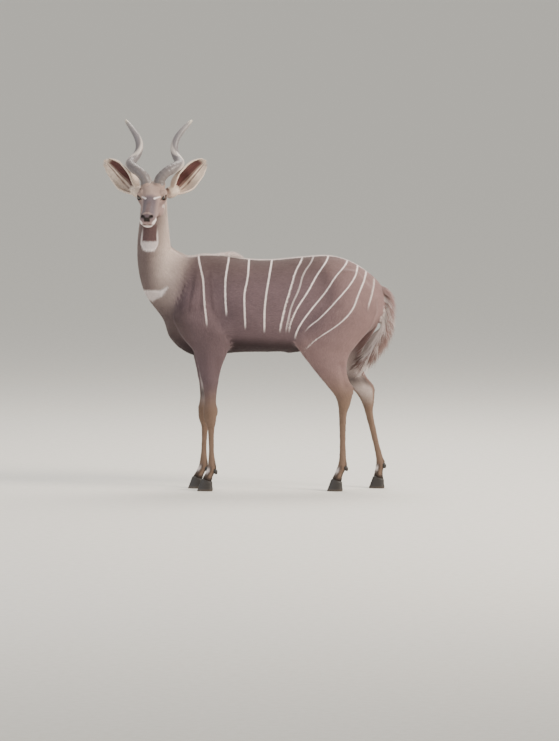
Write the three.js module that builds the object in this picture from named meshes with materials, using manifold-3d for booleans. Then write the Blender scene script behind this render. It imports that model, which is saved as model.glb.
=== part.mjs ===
// Lesser kudu bull, life size, standing broadside with its head turned to its left to look out sideways.
// Millimetres, +Z up. The body faces -X, so its left side is towards -Y.
// The origin is under the middle of its box.
import * as THREE from "three";
import { mergeVertices } from "three/addons/utils/BufferGeometryUtils.js";
import Module from "manifold-3d";

const wasm = await Module();
wasm.setup();

const GAP = 0.3; // between pieces that meet
const SNAP = 0.02; // grid that the finished vertices keep to
const SIDES = [-1, 1]; // left, right
const { degToRad, lerp, smoothstep } = THREE.MathUtils;

// How far each foot stands behind (+) or ahead of (-) the square stance.
const STRIDE = { foreLeft: 16, foreRight: -26, hindLeft: 4, hindRight: 188 };
const HIP_HEIGHT = 860;
const SHOULDER_HEIGHT = 800;

// The head: where the point between the eyes is, how far the nose dips,
// and how far the head turns from the body's line
const HEAD_AT = new THREE.Vector3(-504, -95, 1204);
const HEAD_DIP = 17;
const HEAD_TURN = 84;

const EYE = { radius: 15.5, at: [6, 45, 3] };
const EYE_ROUND = { across: 12, up: 8 };
// The lids' opening faces outwards and forwards, and slants down to the nose.
const LIDS = { shell: 3.5, opening: [16, 16, 9.5], forwards: 36, slant: -12 };
const BROW = { offset: [11, -6, 13], radii: [26, 15, 15] }; // from the eye, y outwards
const MOUTH = { line: [[-92, -48], [-125, -53], [-150, -58], [-185, -59]], high: 2.4, deep: 5, wide: 90 };

const HORN = {
  base: [52, 28, 45], // in the head's frame, for the left horn, with y outwards
  lean: 33, // above the line of the face, pointing back
  length: 322, // straight from base to tip
  splay: 79, // outwards at the tip
  coil: 32, // radius of the open spiral
  coilTip: 13,
  flat: 0.7, // the spiral's depth for its width
  startAngle: -88, // of the spiral, from the front towards the outside
  turn: 443,
  thickBase: 22,
  thickTip: 2.5,
  taper: 0.4, // under 1 keeps the horn stout until near its tip
  keel: 0.18, // how far the keel stands out, as a share of the thickness
  sides: 12,
  rings: 26,
};

const EAR = {
  base: [107, 80, -12],
  length: 183,
  spread: 50, // from upright towards the side
  lean: 8, // of the tip, backwards
  facing: 16, // how far the cup looks outwards from straight ahead
  width: 99,
  wall: 5,
  across: 9,
  rings: 9,
  root: { at: [108, 69, -11], radii: [23, 34, 23], rise: 24 },
};

// Locks of long hair: how many, how long, how wide across the ridge and along it, and how steeply they stand.
// They are longest at `peak` along their ridge, and fall to `least` of that away from it.
const MANE = { locks: 15, length: 34, wide: 9, thick: 22, rise: 0.36, peak: 0.2, least: 0.75 };
const CREST = { locks: 16, length: 58, wide: 10, thick: 28, rise: 0.36, peak: 0.62, least: 0.45 };
const TAIL = { locks: 19, length: 104, wide: 26, thick: 13, rise: 0.24 };
const LOCK_ROOT = 9; // sunk in the skin
const CLAW = { length: 64, ahead: 0.62, halfWidth: 11.2, flare: 0.4, sole: 7, apart: 12.6, low: 0.42 };
const DEWCLAW = { radii: [8, 6.5, 12], apart: 10, sunk: 4, below: 6, lean: -25 };

// Basics: blending rows of numbers, ribs, and the skin drawn over them

// A rib is one closed cross-section of a body part. It spans from a front (or upper) outline point
// to a rear (or lower) one, both [x, z], and reaches `wide` to each side of its middle,
// which lies `y` out from the mid-plane.
// `low` makes the rear or lower half fuller, and `turn` turns the rib about the vertical, in degrees.
function rib(front, back, wide, { y = 0, low = 0, turn = 0 } = {}) {
  return [...front, ...back, wide, y, low, turn];
}

// Catmull-Rom blend of two neighbouring ribs, number by number.
function ribBetween(ribs, i, t) {
  const [a, b, c, d] = [-1, 0, 1, 2].map((k) => ribs[Math.min(Math.max(i + k, 0), ribs.length - 1)]);
  return b.map((_, n) => {
    const [p, q, r, s] = [a[n], b[n], c[n], d[n]];
    const bend = 2 * p - 5 * q + 4 * r - s;
    const twist = 3 * q - p - 3 * r + s;
    return 0.5 * (2 * q + (r - p) * t + bend * t ** 2 + twist * t ** 3);
  });
}

function ribMiddle([fx, fz, bx, bz, , y]) {
  return new THREE.Vector3((fx + bx) / 2, y, (fz + bz) / 2);
}

function ringOfRib(values, sides, side, grow) {
  const [fx, fz, bx, bz, wide, , low, turn] = values;
  const middle = ribMiddle(values);
  const half = new THREE.Vector3((fx - bx) / 2, 0, (fz - bz) / 2);
  half.setLength(half.length() + grow);
  const up = new THREE.Vector3(0, 0, 1);
  return Array.from({ length: sides }, (_, k) => {
    const a = (2 * Math.PI * k) / sides;
    const out = Math.sin(a) * (1 - low * Math.cos(a)) * (wide + grow);
    return half
      .clone()
      .multiplyScalar(Math.cos(a))
      .add(new THREE.Vector3(0, out, 0))
      .applyAxisAngle(up, degToRad(turn))
      .add(middle)
      .multiply(new THREE.Vector3(1, side, 1));
  });
}

// Closes an end ring by a fan round its middle.
function fanCap(ring, start, points) {
  const middle = ring.reduce((sum, p) => sum.add(p), new THREE.Vector3()).divideScalar(ring.length);
  const hub = points.push(middle) - 1;
  return ring.flatMap((_, k) => [start + k, start + ((k + 1) % ring.length), hub]);
}

// Closes an end ring that is a thin wall, one face of it followed by the other, by a strip between them.
function wallCap(ring, start) {
  const last = ring.length - 1;
  const triangles = [];
  for (let k = 0; k < last - k - 1; k++) {
    const [a, b, c, d] = [k, k + 1, last - k - 1, last - k].map((n) => start + n);
    triangles.push(a, b, c, a, c, d);
  }
  return triangles;
}

// A closed skin over rings of equal count, with a cap over each end ring.
class SkinGeometry extends THREE.BufferGeometry {
  constructor(rings, cap = fanCap) {
    super();
    const count = rings[0].length;
    const last = rings.length - 1;
    const points = rings.flat();
    const index = [];
    for (let r = 0; r < last; r++)
      for (let k = 0; k < count; k++) {
        const [a, b] = [r * count + k, r * count + ((k + 1) % count)];
        index.push(a, b, b + count, a, b + count, a + count);
      }
    index.push(...cap(rings[0], 0, points).reverse(), ...cap(rings[last], last * count, points));
    this.setFromPoints(points);
    this.setIndex(facingOut(points, index));
  }
}

// The same triangles, turned round if they face inwards.
function facingOut(points, index) {
  let volume = 0;
  for (let i = 0; i < index.length; i += 3) {
    const [a, b, c] = index.slice(i, i + 3).map((n) => points[n]);
    volume += a.dot(b.clone().cross(c));
  }
  return volume > 0 ? index : index.reverse();
}

// A body part over its ribs. `grow` makes it that much bigger all round, to cut the place it sits in.
class RibbedGeometry extends SkinGeometry {
  constructor(ribs, { sides, step, side = 1, grow = 0 }) {
    const rings = [];
    for (let i = 0; i < ribs.length - 1; i++) {
      const span = ribMiddle(ribs[i]).distanceTo(ribMiddle(ribs[i + 1]));
      const steps = Math.max(1, Math.round(span / step));
      for (let s = 0; s < steps; s++) {
        rings.push(ringOfRib(ribBetween(ribs, i, s / steps), sides, side, grow));
      }
    }
    rings.push(ringOfRib(ribs[ribs.length - 1], sides, side, grow));
    if (grow) {
      pushEnd(rings[0], rings[1], grow);
      pushEnd(rings[rings.length - 1], rings[rings.length - 2], grow);
    }
    super(rings);
  }
}

// Moves an end ring away from its neighbour.
function pushEnd(ring, neighbour, distance) {
  const middle = (r) => r.reduce((sum, p) => sum.add(p), new THREE.Vector3()).divideScalar(r.length);
  const away = middle(ring).sub(middle(neighbour)).setLength(distance);
  ring.forEach((p) => p.add(away));
}

function solidOf(geometry) {
  const bare = new THREE.BufferGeometry().setAttribute("position", geometry.getAttribute("position"));
  if (geometry.index) bare.setIndex(geometry.index);
  const merged = mergeVertices(bare, 1e-3);
  const mesh = new wasm.Mesh({
    numProp: 3,
    vertProperties: merged.attributes.position.array,
    triVerts: new Uint32Array(merged.index.array),
  });
  return new wasm.Manifold(mesh);
}

function geometryOf(solid) {
  const { numProp, numVert, vertProperties, triVerts } = solid.getMesh();
  const positions = new Float32Array(numVert * 3);
  for (let i = 0; i < numVert; i++) {
    positions.set(vertProperties.subarray(i * numProp, i * numProp + 3), i * 3);
  }
  const geometry = new THREE.BufferGeometry();
  geometry.setAttribute("position", new THREE.BufferAttribute(positions, 3));
  geometry.setIndex(new THREE.BufferAttribute(triVerts, 1));
  return geometry;
}

// A node's geometry: the solid's vertices snapped to a fine grid, without the slivers that this closes up.
function finished(solid) {
  const geometry = geometryOf(solid);
  const { array } = geometry.attributes.position;
  array.forEach((value, i) => (array[i] = Math.round(value / SNAP) * SNAP));
  const merged = mergeVertices(geometry, SNAP / 2);
  const corners = merged.index.array;
  const open = new Map();
  for (let i = 0; i < corners.length; i += 3) {
    const triangle = [...corners.slice(i, i + 3)];
    if (new Set(triangle).size < 3) continue;
    const key = triangle.slice().sort((a, b) => a - b).join();
    if (open.has(key)) open.delete(key);
    else open.set(key, triangle);
  }
  merged.setIndex([...open.values()].flat());
  merged.computeVertexNormals();
  return merged;
}

const join = (first, ...more) => more.reduce((made, next) => made.add(next), first);
const carve = (host, ...guests) => guests.reduce((made, guest) => made.subtract(guest), host);
const largest = (solid) => solid.decompose().sort((a, b) => b.volume() - a.volume())[0];

function ellipsoid([x, y, z], [rx, ry, rz], { across = 12, up = 8, tilt = [0, 0, 0] } = {}) {
  const geometry = new THREE.SphereGeometry(1, across, up).scale(rx, ry, rz);
  const turn = new THREE.Euler(...tilt.map(degToRad), "ZYX");
  geometry.applyMatrix4(new THREE.Matrix4().makeRotationFromEuler(turn)).translate(x, y, z);
  return solidOf(geometry);
}

// Trunk and neck: one row of ribs from the rump to the throat, upper outline first

const NECK_ROOT = { upper: [-372, 965], lower: [-460, 702] };

const spineRibs = [
  rib([452, 800], [446, 742], 16),
  rib([432, 846], [424, 690], 52),
  rib([382, 896], [374, 640], 88),
  rib([305, 943], [292, 610], 110),
  rib([222, 964], [200, 594], 124, { low: 0.05 }),
  rib([105, 958], [85, 572], 134, { low: 0.1 }),
  rib([-20, 947], [-20, 567], 146, { low: 0.12 }),
  rib([-130, 952], [-130, 566], 146, { low: 0.08 }),
  rib([-222, 966], [-235, 558], 130),
  rib([-295, 967], [-340, 558], 114, { low: -0.05 }),
  rib([-338, 960], [-427, 620], 102, { low: -0.08 }),
  rib(NECK_ROOT.upper, NECK_ROOT.lower, 90, { turn: 4 }),
  rib([-424, 996], [-530, 800], 78, { turn: 14 }),
  rib([-431, 1036], [-560, 900], 68, { turn: 30, y: -2 }),
  rib([-431, 1090], [-569, 1000], 62, { turn: 50, y: -2 }),
  rib([-434, 1146], [-562, 1092], 57, { turn: 68, y: 2 }),
  rib([-436, 1200], [-556, 1172], 52, { turn: 80, y: 12 }),
  rib([-446, 1236], [-540, 1226], 40, { turn: 84, y: 18 }),
];

function spine(grow = 0) {
  return solidOf(new RibbedGeometry(spineRibs, { sides: 20, step: 52, grow }));
}

const NECK_ROOT_RIB = spineRibs.findIndex(([x]) => x === NECK_ROOT.upper[0]);

// The plane that parts the neck from the trunk, as a normal towards the neck and a distance.
function neckRootPlane() {
  const [ux, uz] = NECK_ROOT.upper;
  const [lx, lz] = NECK_ROOT.lower;
  const normal = new THREE.Vector3(lz - uz, 0, ux - lx).normalize();
  return { normal, distance: normal.dot(new THREE.Vector3(ux, 0, uz)) };
}

// Legs: ribs of the square stance, front outline first, then set forward or back by the stride

const foreRibs = [
  rib([-330, 914], [-252, 912], 12, { y: 40 }),
  rib([-362, 872], [-236, 872], 31, { y: 67 }),
  rib([-402, 790], [-208, 790], 44, { y: 79 }),
  rib([-415, 712], [-190, 705], 48, { y: 83 }),
  rib([-388, 642], [-178, 632], 45, { y: 81 }),
  rib([-341, 580], [-196, 574], 39, { y: 77 }),
  rib([-318, 512], [-222, 510], 31, { y: 73 }),
  rib([-304, 440], [-238, 440], 25, { y: 70 }),
  rib([-298, 378], [-247, 378], 22, { y: 68 }),
  rib([-302, 330], [-246, 326], 24, { y: 67 }),
  rib([-298, 286], [-250, 282], 21, { y: 66 }),
  rib([-288, 250], [-257, 250], 15, { y: 65 }),
  rib([-286, 170], [-260, 170], 13, { y: 64 }),
  rib([-289, 122], [-256, 116], 17, { y: 64 }),
  rib([-293, 96], [-254, 86], 18, { y: 64 }),
  rib([-304, 70], [-268, 58], 16, { y: 64 }),
  rib([-318, 47], [-272, 37], 21, { y: 64 }),
];

const hindRibs = [
  rib([262, 915], [340, 902], 20, { y: 66 }),
  rib([196, 866], [400, 826], 50, { y: 74 }),
  rib([140, 784], [420, 748], 66, { y: 80 }),
  rib([94, 704], [398, 680], 64, { y: 84 }),
  rib([74, 640], [352, 620], 55, { y: 85 }),
  rib([98, 580], [308, 568], 45, { y: 83 }),
  rib([137, 525], [294, 515], 35, { y: 80 }),
  rib([178, 472], [298, 470], 27, { y: 77 }),
  rib([220, 420], [314, 430], 23, { y: 75 }),
  rib([245, 385], [318, 402], 25, { y: 74 }),
  rib([255, 350], [307, 354], 23, { y: 73 }),
  rib([258, 305], [293, 308], 17, { y: 72 }),
  rib([260, 200], [289, 200], 14, { y: 71 }),
  rib([258, 138], [291, 132], 17, { y: 70 }),
  rib([253, 108], [292, 100], 19, { y: 70 }),
  rib([240, 76], [276, 64], 16, { y: 70 }),
  rib([226, 47], [272, 37], 21, { y: 70 }),
];

// Where each leg is parted at its knee or hock, and how far the cut tilts
const KNEE_CUT = { cutLevel: 300, cutTilt: 0 };
const HOCK_CUT = { cutLevel: 372, cutTilt: 18 };

// The leg swings as a whole from its joint with the body, so that low ribs move the most.
function strideAt(z, stride, jointHeight) {
  return stride * Math.max(0, 1 - z / jointHeight) ** 1.15;
}

function striding(ribs, stride, jointHeight) {
  return ribs.map(([fx, fz, bx, bz, ...rest]) => {
    const shift = strideAt((fz + bz) / 2, stride, jointHeight);
    return [fx + shift, fz, bx + shift, bz, ...rest];
  });
}

function dewclaws(ribs, side) {
  const [, , bx, bz, , y] = ribs[ribs.length - 3];
  return [-1, 1].map((way) =>
    ellipsoid([bx - DEWCLAW.sunk, side * (y + way * DEWCLAW.apart), bz - DEWCLAW.below], DEWCLAW.radii, {
      across: 6,
      up: 4,
      tilt: [0, DEWCLAW.lean, 0],
    }),
  );
}

// A leg's upper part, its cannon and foot, and the same leg slightly bigger, for cutting the trunk.
function legSolids(squareRibs, { side, stride, jointHeight, cutLevel, cutTilt }) {
  const ribs = striding(squareRibs, stride, jointHeight);
  const shape = { sides: 14, step: 58, side };
  const whole = join(solidOf(new RibbedGeometry(ribs, shape)), ...dewclaws(ribs, side));
  const normal = [Math.sin(degToRad(cutTilt)), 0, Math.cos(degToRad(cutTilt))];
  const offset = normal[0] * (ribs.at(-7)[0] + ribs.at(-7)[2]) * 0.5 + normal[2] * cutLevel;
  return {
    upper: largest(whole.trimByPlane(normal, offset + GAP / 2)),
    lower: largest(whole.trimByPlane(normal.map((n) => -n), -(offset - GAP / 2))),
    grown: solidOf(new RibbedGeometry(ribs, { ...shape, grow: GAP })),
    foot: ribs.at(-1),
  };
}

const legPlans = {
  foreleg_left: { ribs: foreRibs, side: -1, stride: STRIDE.foreLeft, jointHeight: SHOULDER_HEIGHT },
  foreleg_right: { ribs: foreRibs, side: 1, stride: STRIDE.foreRight, jointHeight: SHOULDER_HEIGHT },
  hindleg_left: { ribs: hindRibs, side: -1, stride: STRIDE.hindLeft, jointHeight: HIP_HEIGHT },
  hindleg_right: { ribs: hindRibs, side: 1, stride: STRIDE.hindRight, jointHeight: HIP_HEIGHT },
};

// One half of a cloven hoof: flat below, pointed in front, its top following the slope of the foot's end.
function claw([fx, fz, bx, bz, , y], side, way) {
  const middle = (fx + bx) / 2;
  const toe = middle - CLAW.length * CLAW.ahead;
  const heel = toe + CLAW.length;
  const at = { y: y + way * CLAW.apart };
  const slope = (fz - bz) / (fx - bx);
  const top = (x) => fz + slope * (x - fx) - GAP;
  const [front, back] = [fx + 1, bx - 1];
  const [halfFront, halfBack] = [lerp(toe, front, 0.55), lerp(heel, back, 0.5)];
  const waist = CLAW.halfWidth - 0.6;
  const ribs = [
    rib([toe, 0], [heel, 0], CLAW.halfWidth, { ...at, low: CLAW.low }),
    rib([toe + 3, CLAW.sole], [heel + 1, CLAW.sole], CLAW.halfWidth + CLAW.flare, { ...at, low: CLAW.low }),
    rib([halfFront, top(front) * 0.55], [halfBack, top(back) * 0.5], waist, { ...at, low: 0.3 }),
    rib([front, top(front)], [back, top(back)], waist - 1, { ...at, low: 0.15 }),
  ];
  return new RibbedGeometry(ribs, { sides: 12, step: 60, side });
}

// Locks of longer hair: flat blades that taper and bend over as they leave the skin

function lock(root, out, lie, { length, wide, thick, rise }) {
  const path = new THREE.QuadraticBezierCurve3(
    root.clone().addScaledVector(out, -LOCK_ROOT),
    root.clone().addScaledVector(out, length * rise).addScaledVector(lie, length * 0.15),
    root.clone().addScaledVector(out, length * rise).addScaledVector(lie, length * Math.sqrt(1 - rise ** 2)),
  );
  const across = out.clone().cross(lie).normalize();
  const rings = [0, 0.55, 1].map((t) => {
    const middle = path.getPoint(t);
    const face = path.getTangent(t).cross(across).normalize();
    const taper = t < 1 ? 1 - 0.55 * t ** 1.5 : 0.06;
    return [0, 1, 2, 3].map((k) => {
      const a = (Math.PI / 2) * k;
      return middle
        .clone()
        .addScaledVector(across, (Math.cos(a) * wide * taper) / 2)
        .addScaledVector(face, (Math.sin(a) * thick * taper) / 2);
    });
  });
  return solidOf(new SkinGeometry(rings));
}

// A small repeatable generator, so that the locks vary the same way each time.
function seeded(seed) {
  let state = seed;
  return () => {
    state = (state * 1664525 + 1013904223) % 4294967296;
    return state / 4294967296;
  };
}

// The upper outline of the trunk and neck, as a curve that the mane and crest grow from.
function upperLine(from, to) {
  const points = [];
  for (let i = from; i < to; i++)
    for (let t = 0; t < 1; t += 0.25) points.push(ringOfRib(ribBetween(spineRibs, i, t), 4, 1, 0)[0]);
  points.push(ringOfRib(spineRibs[to], 4, 1, 0)[0]);
  return new THREE.CatmullRomCurve3(points);
}

// Two rows of locks, leaning a little apart, set alternately along a line of the back and lying tailwards.
function ridge(line, { locks, length, wide, thick, rise, peak, least }, seed) {
  const random = seeded(seed);
  const up = new THREE.Vector3(0, 0, 1);
  return Array.from({ length: locks }, (_, i) => {
    const t = (i + 0.5) / locks;
    const lie = line.getTangent(t).negate();
    const side = new THREE.Vector3().crossVectors(up, lie).normalize();
    const out = new THREE.Vector3().crossVectors(lie, side).normalize();
    const way = i % 2 ? 1 : -1;
    const leaning = out.clone().addScaledVector(side, way * (0.12 + 0.1 * random())).normalize();
    const root = line.getPoint(t).addScaledVector(side, way * 3);
    const share = lerp(least, 1, Math.exp(-(((t - peak) / 0.25) ** 2)));
    const size = length * share * lerp(0.85, 1.15, random());
    return lock(root, leaning, lie, { length: size, wide, thick: thick * lerp(0.85, 1.15, random()), rise });
  });
}

// Tail: a bare stem with bushy locks, hanging over the cleft between the thighs

const tailRibs = [
  rib([412, 850], [402, 824], 14),
  rib([440, 840], [420, 808], 17),
  rib([466, 792], [438, 782], 17),
  rib([468, 730], [440, 728], 16),
  rib([454, 665], [427, 658], 14),
  rib([424, 602], [401, 594], 12),
  rib([386, 547], [368, 539], 9),
  rib([350, 506], [340, 499], 4),
];

function tailStem(grow = 0) {
  return solidOf(new RibbedGeometry(tailRibs, { sides: 8, step: 60, grow }));
}

function tailLocks() {
  const random = seeded(5);
  const line = new THREE.CatmullRomCurve3(tailRibs.map(ribMiddle));
  return Array.from({ length: TAIL.locks }, (_, i) => {
    const t = lerp(0.24, 0.97, i / (TAIL.locks - 1));
    const lie = line.getTangent(t);
    const around = degToRad(137.5 * i);
    const side = new THREE.Vector3(0, 1, 0);
    const back = new THREE.Vector3().crossVectors(lie, side).normalize();
    const out = side.multiplyScalar(Math.cos(around)).addScaledVector(back, Math.sin(around));
    out.normalize();
    const root = line.getPoint(t).addScaledVector(out, lerp(11, 3, t));
    const size = { ...TAIL, length: TAIL.length * lerp(0.85, 1.1, random()) * lerp(0.8, 1, t) };
    return lock(root, out, lie, size);
  });
}

// Head, in its own frame: it faces -X, with the point between the eyes at the origin

const headRibs = [
  rib([132, 4], [124, -48], 26),
  rib([118, 26], [108, -72], 44, { low: -0.1 }),
  rib([88, 42], [76, -90], 51, { low: -0.2 }),
  rib([52, 48], [42, -97], 54, { low: -0.26 }),
  rib([18, 43], [8, -93], 54, { low: -0.28 }),
  rib([-18, 32], [-26, -87], 42, { low: -0.2 }),
  rib([-55, 19], [-62, -82], 36, { low: -0.1 }),
  rib([-92, 8], [-98, -79], 34, { low: -0.02 }),
  rib([-126, 1], [-130, -79], 32, { low: 0 }),
  rib([-152, -6], [-150, -76], 32, { low: 0 }),
  rib([-167, -14], [-162, -68], 25, { low: 0 }),
  rib([-174, -26], [-168, -56], 13),
];

function headLoft(grow = 0) {
  return solidOf(new RibbedGeometry(headRibs, { sides: 18, step: 26, grow }));
}

// The slit between the lips, cut only a little way in from the outside.
function mouthSlit() {
  const line = new THREE.SplineCurve(MOUTH.line.map(([x, z]) => new THREE.Vector2(x, z)));
  const upper = line.getPoints(6);
  const lower = upper.map(({ x, y }) => new THREE.Vector2(x, y - MOUTH.high)).reverse();
  lower[0].y -= MOUTH.high / 2;
  const shape = new THREE.Shape([...upper, ...lower]);
  const slab = new THREE.ExtrudeGeometry(shape, { depth: MOUTH.wide, bevelEnabled: false, steps: 1 });
  slab.translate(0, 0, -MOUTH.wide / 2).rotateX(Math.PI / 2);
  return solidOf(slab).subtract(headLoft(-MOUTH.deep));
}

// The spiral turns a little faster near the root.
const spiralAngle = (t) => HORN.startAngle + HORN.turn * (t + 0.42 * t * (1 - t));

// How far the horn's middle line lies outwards and forwards of its straight axis, on an open spiral.
function spiralAt(t) {
  const angle = degToRad(spiralAngle(t));
  const coil = lerp(HORN.coil, HORN.coilTip, smoothstep(t, 0.3, 1.1));
  const splay = HORN.splay * Math.max(0, t) ** 1.9;
  return { outwards: splay + coil * Math.sin(angle), forwards: HORN.flat * coil * Math.cos(angle) };
}

// The horn's middle line, in the head's frame: its axis leans back from the base.
class HornCurve extends THREE.Curve {
  constructor(side) {
    super();
    this.side = side;
  }
  getPoint(t, target = new THREE.Vector3()) {
    const [start, here] = [spiralAt(0), spiralAt(t)];
    const forwards = here.forwards - start.forwards;
    const [back, up] = [Math.cos(degToRad(HORN.lean)), Math.sin(degToRad(HORN.lean))];
    const [bx, by, bz] = HORN.base;
    return target.set(
      bx + back * HORN.length * t - up * forwards,
      this.side * (by + here.outwards - start.outwards),
      bz + up * HORN.length * t + back * forwards,
    );
  }
}

function horn(side, grow = 0) {
  const curve = new HornCurve(side);
  const rings = Array.from({ length: HORN.rings + 1 }, (_, i) => {
    const t = i / HORN.rings;
    const along = lerp(-0.035, 1, t);
    const middle = curve.getPoint(along);
    const tangent = curve.getPoint(along + 0.01).sub(curve.getPoint(along - 0.01)).normalize();
    const out = new THREE.Vector3(0, side, 0).addScaledVector(tangent, -side * tangent.y).normalize();
    const front = new THREE.Vector3().crossVectors(out, tangent).multiplyScalar(side).normalize();
    const thick = lerp(HORN.thickTip, HORN.thickBase, (1 - t) ** HORN.taper) + grow;
    const keelAt = degToRad(spiralAngle(along));
    return Array.from({ length: HORN.sides }, (_, k) => {
      const a = (2 * Math.PI * k) / HORN.sides;
      const ridge = HORN.keel * Math.max(0, Math.cos(a - keelAt)) ** 2 * (1 - t);
      const radius = thick * (1 + ridge);
      return middle
        .clone()
        .addScaledVector(front, Math.cos(a) * radius)
        .addScaledVector(out, Math.sin(a) * radius);
    });
  });
  if (grow) pushEnd(rings[0], rings[1], grow);
  return solidOf(new SkinGeometry(rings));
}

// Half the ear's width and how far its edges curl round, along its length.
function earForm(s) {
  const leaf = (1 - Math.abs(2 * lerp(0.06, 0.985, s) - 1) ** 2.4) ** 0.625;
  return { half: (EAR.width / 2) * leaf, curl: lerp(146, 52, smoothstep(s, 0, 0.75)) };
}

// The ear stands on its root along +Z, with its cup open to -X.
function earShell(grow) {
  const rows = Array.from({ length: EAR.rings + 1 }, (_, i) => {
    const s = i / EAR.rings;
    const { half, curl } = earForm(s);
    const radius = half / Math.sin(degToRad(Math.min(curl, 90)));
    const wall = EAR.wall * lerp(1.5, 0.8, s);
    const bow = 24 * s * s;
    return Array.from({ length: EAR.across + 1 }, (_, j) => {
      const edge = degToRad(curl) + grow / radius;
      const a = lerp(-edge, edge, j / EAR.across);
      const point = (r) => new THREE.Vector3(Math.cos(a) * r - radius * Math.cos(degToRad(curl)) * 0.6 + bow,
        Math.sin(a) * r, EAR.length * s);
      return [point(radius + grow), point(Math.max(radius - wall, radius * 0.3) - grow)];
    });
  });
  const rings = rows.map((row) => {
    const inner = row.map(([, point]) => point).reverse();
    return [...row.map(([point]) => point), ...inner];
  });
  if (grow) pushEnd(rings[0], rings[1], grow);
  return new SkinGeometry(rings, wallCap);
}

function placedEar(geometry, side) {
  const place = new THREE.Matrix4()
    .makeTranslation(EAR.base[0], side * EAR.base[1], EAR.base[2])
    .multiply(new THREE.Matrix4().makeRotationX(-side * degToRad(EAR.spread)))
    .multiply(new THREE.Matrix4().makeRotationY(degToRad(EAR.lean)))
    .multiply(new THREE.Matrix4().makeRotationZ(-side * degToRad(EAR.facing)));
  return geometry.applyMatrix4(place);
}

function ear(side, grow = 0) {
  const { at: [x, y, z], radii, rise } = EAR.root;
  const size = radii.map((r) => r + grow);
  const root = ellipsoid([x, side * y, z], size, { across: 10, up: 7, tilt: [side * rise, 0, 0] });
  return join(solidOf(placedEar(earShell(grow), side)), root);
}

function eyeball(side, grow = 0) {
  const [x, y, z] = EYE.at;
  const r = EYE.radius + grow;
  return ellipsoid([x, side * y, z], [r, r, r], EYE_ROUND);
}

// The lids: a shell round the eyeball, opened by an almond that slants down towards the nose.
function lidded(head, side) {
  const [x, y, z] = EYE.at;
  const [bx, by, bz] = BROW.offset;
  const brow = ellipsoid([x + bx, side * (y + by), z + bz], BROW.radii, { across: 10, up: 6 });
  const shell = ellipsoid([x, side * y, z], Array(3).fill(EYE.radius + LIDS.shell), EYE_ROUND);
  const forwards = degToRad(LIDS.forwards);
  const reach = LIDS.opening[1];
  const centre = [x - reach * Math.sin(forwards), side * (y + reach * Math.cos(forwards)), z];
  const tilt = [0, LIDS.slant, side * LIDS.forwards];
  const opening = ellipsoid(centre, LIDS.opening, { across: 10, up: 5, tilt });
  return join(head, brow, shell).subtract(opening);
}

// The head's mass before anything is cut: the skull's loft, cheeks, horn roots, nose, lips and chin.
function headMass(grow = 0) {
  const lump = (at, radii) => ellipsoid(at, radii.map((r) => r + grow), { across: 10, up: 6 });
  const paired = SIDES.flatMap((side) => [
    lump([56, side * 25, 34], [34, 27, 27]),
    lump([26, side * 29, -50], [58, 21, 36]),
    lump([-138, side * 17, -46], [27, 18, 10]),
  ]);
  return join(headLoft(grow), lump([-128, 0, -70], [24, 21, 11]), ...paired);
}

function headSolid() {
  let head = headMass();
  for (const side of SIDES) head = lidded(head, side);
  const nostrils = SIDES.map((side) =>
    ellipsoid([-166, side * 17, -22], [10, 6.5, 4.5], { across: 8, up: 6, tilt: [0, 28, side * 30] }),
  );
  const guests = SIDES.flatMap((side) => [horn(side, GAP), ear(side, GAP), eyeball(side, GAP)]);
  return largest(carve(head, mouthSlit(), ...nostrils, ...guests));
}

// Materials and the assembled animal

const finishes = {
  coat: { color: "#8f7a74", roughness: 0.9 },
  neckCoat: { color: "#a8968d", roughness: 0.9 },
  legCoat: { color: "#a5795a", roughness: 0.9 },
  earCoat: { color: "#b3826f", roughness: 0.9 },
  tailCoat: { color: "#b59b88", roughness: 0.9 },
  hornSheath: { color: "#6f665e", roughness: 0.55 },
  hoofHorn: { color: "#2f2926", roughness: 0.5 },
  eyeGlass: { color: "#1c1210", roughness: 0.08 },
};
const material = {};
for (const [name, finish] of Object.entries(finishes)) {
  material[name] = new THREE.MeshStandardMaterial({ metalness: 0, ...finish });
}

function named(name, geometry, finish) {
  const mesh = new THREE.Mesh(geometry, finish);
  mesh.name = name;
  return mesh;
}

const sideNames = [["left", SIDES[0]], ["right", SIDES[1]]];
const headPose = new THREE.Group();
headPose.position.copy(HEAD_AT);
headPose.rotation.set(0, degToRad(-HEAD_DIP), degToRad(HEAD_TURN), "ZYX");
headPose.updateMatrix();

const inHeadPose = (solid) => solidOf(geometryOf(solid).applyMatrix4(headPose.matrix));

function addHead(body) {
  headPose.add(named("head", finished(headSolid()), material.coat));
  for (const [name, side] of sideNames) {
    headPose.add(
      named("eye_" + name, finished(eyeball(side)), material.eyeGlass),
      named("horn_" + name, finished(horn(side)), material.hornSheath),
      named("ear_" + name, finished(largest(ear(side))), material.earCoat),
    );
  }
  body.add(headPose);
}

function addLegs(body) {
  const grown = [];
  for (const [name, plan] of Object.entries(legPlans)) {
    const cut = name.startsWith("fore") ? KNEE_CUT : HOCK_CUT;
    const leg = legSolids(plan.ribs, { ...plan, ...cut });
    grown.push(leg.grown);
    body.add(
      named(name + "_upper", finished(leg.upper), material.coat),
      named(name + "_lower", finished(leg.lower), material.legCoat),
      ...[["outer", 1], ["inner", -1]].map(([where, way]) =>
        named("hoof_" + name + "_" + where, claw(leg.foot, plan.side, way), material.hoofHorn),
      ),
    );
  }
  return grown;
}

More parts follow.
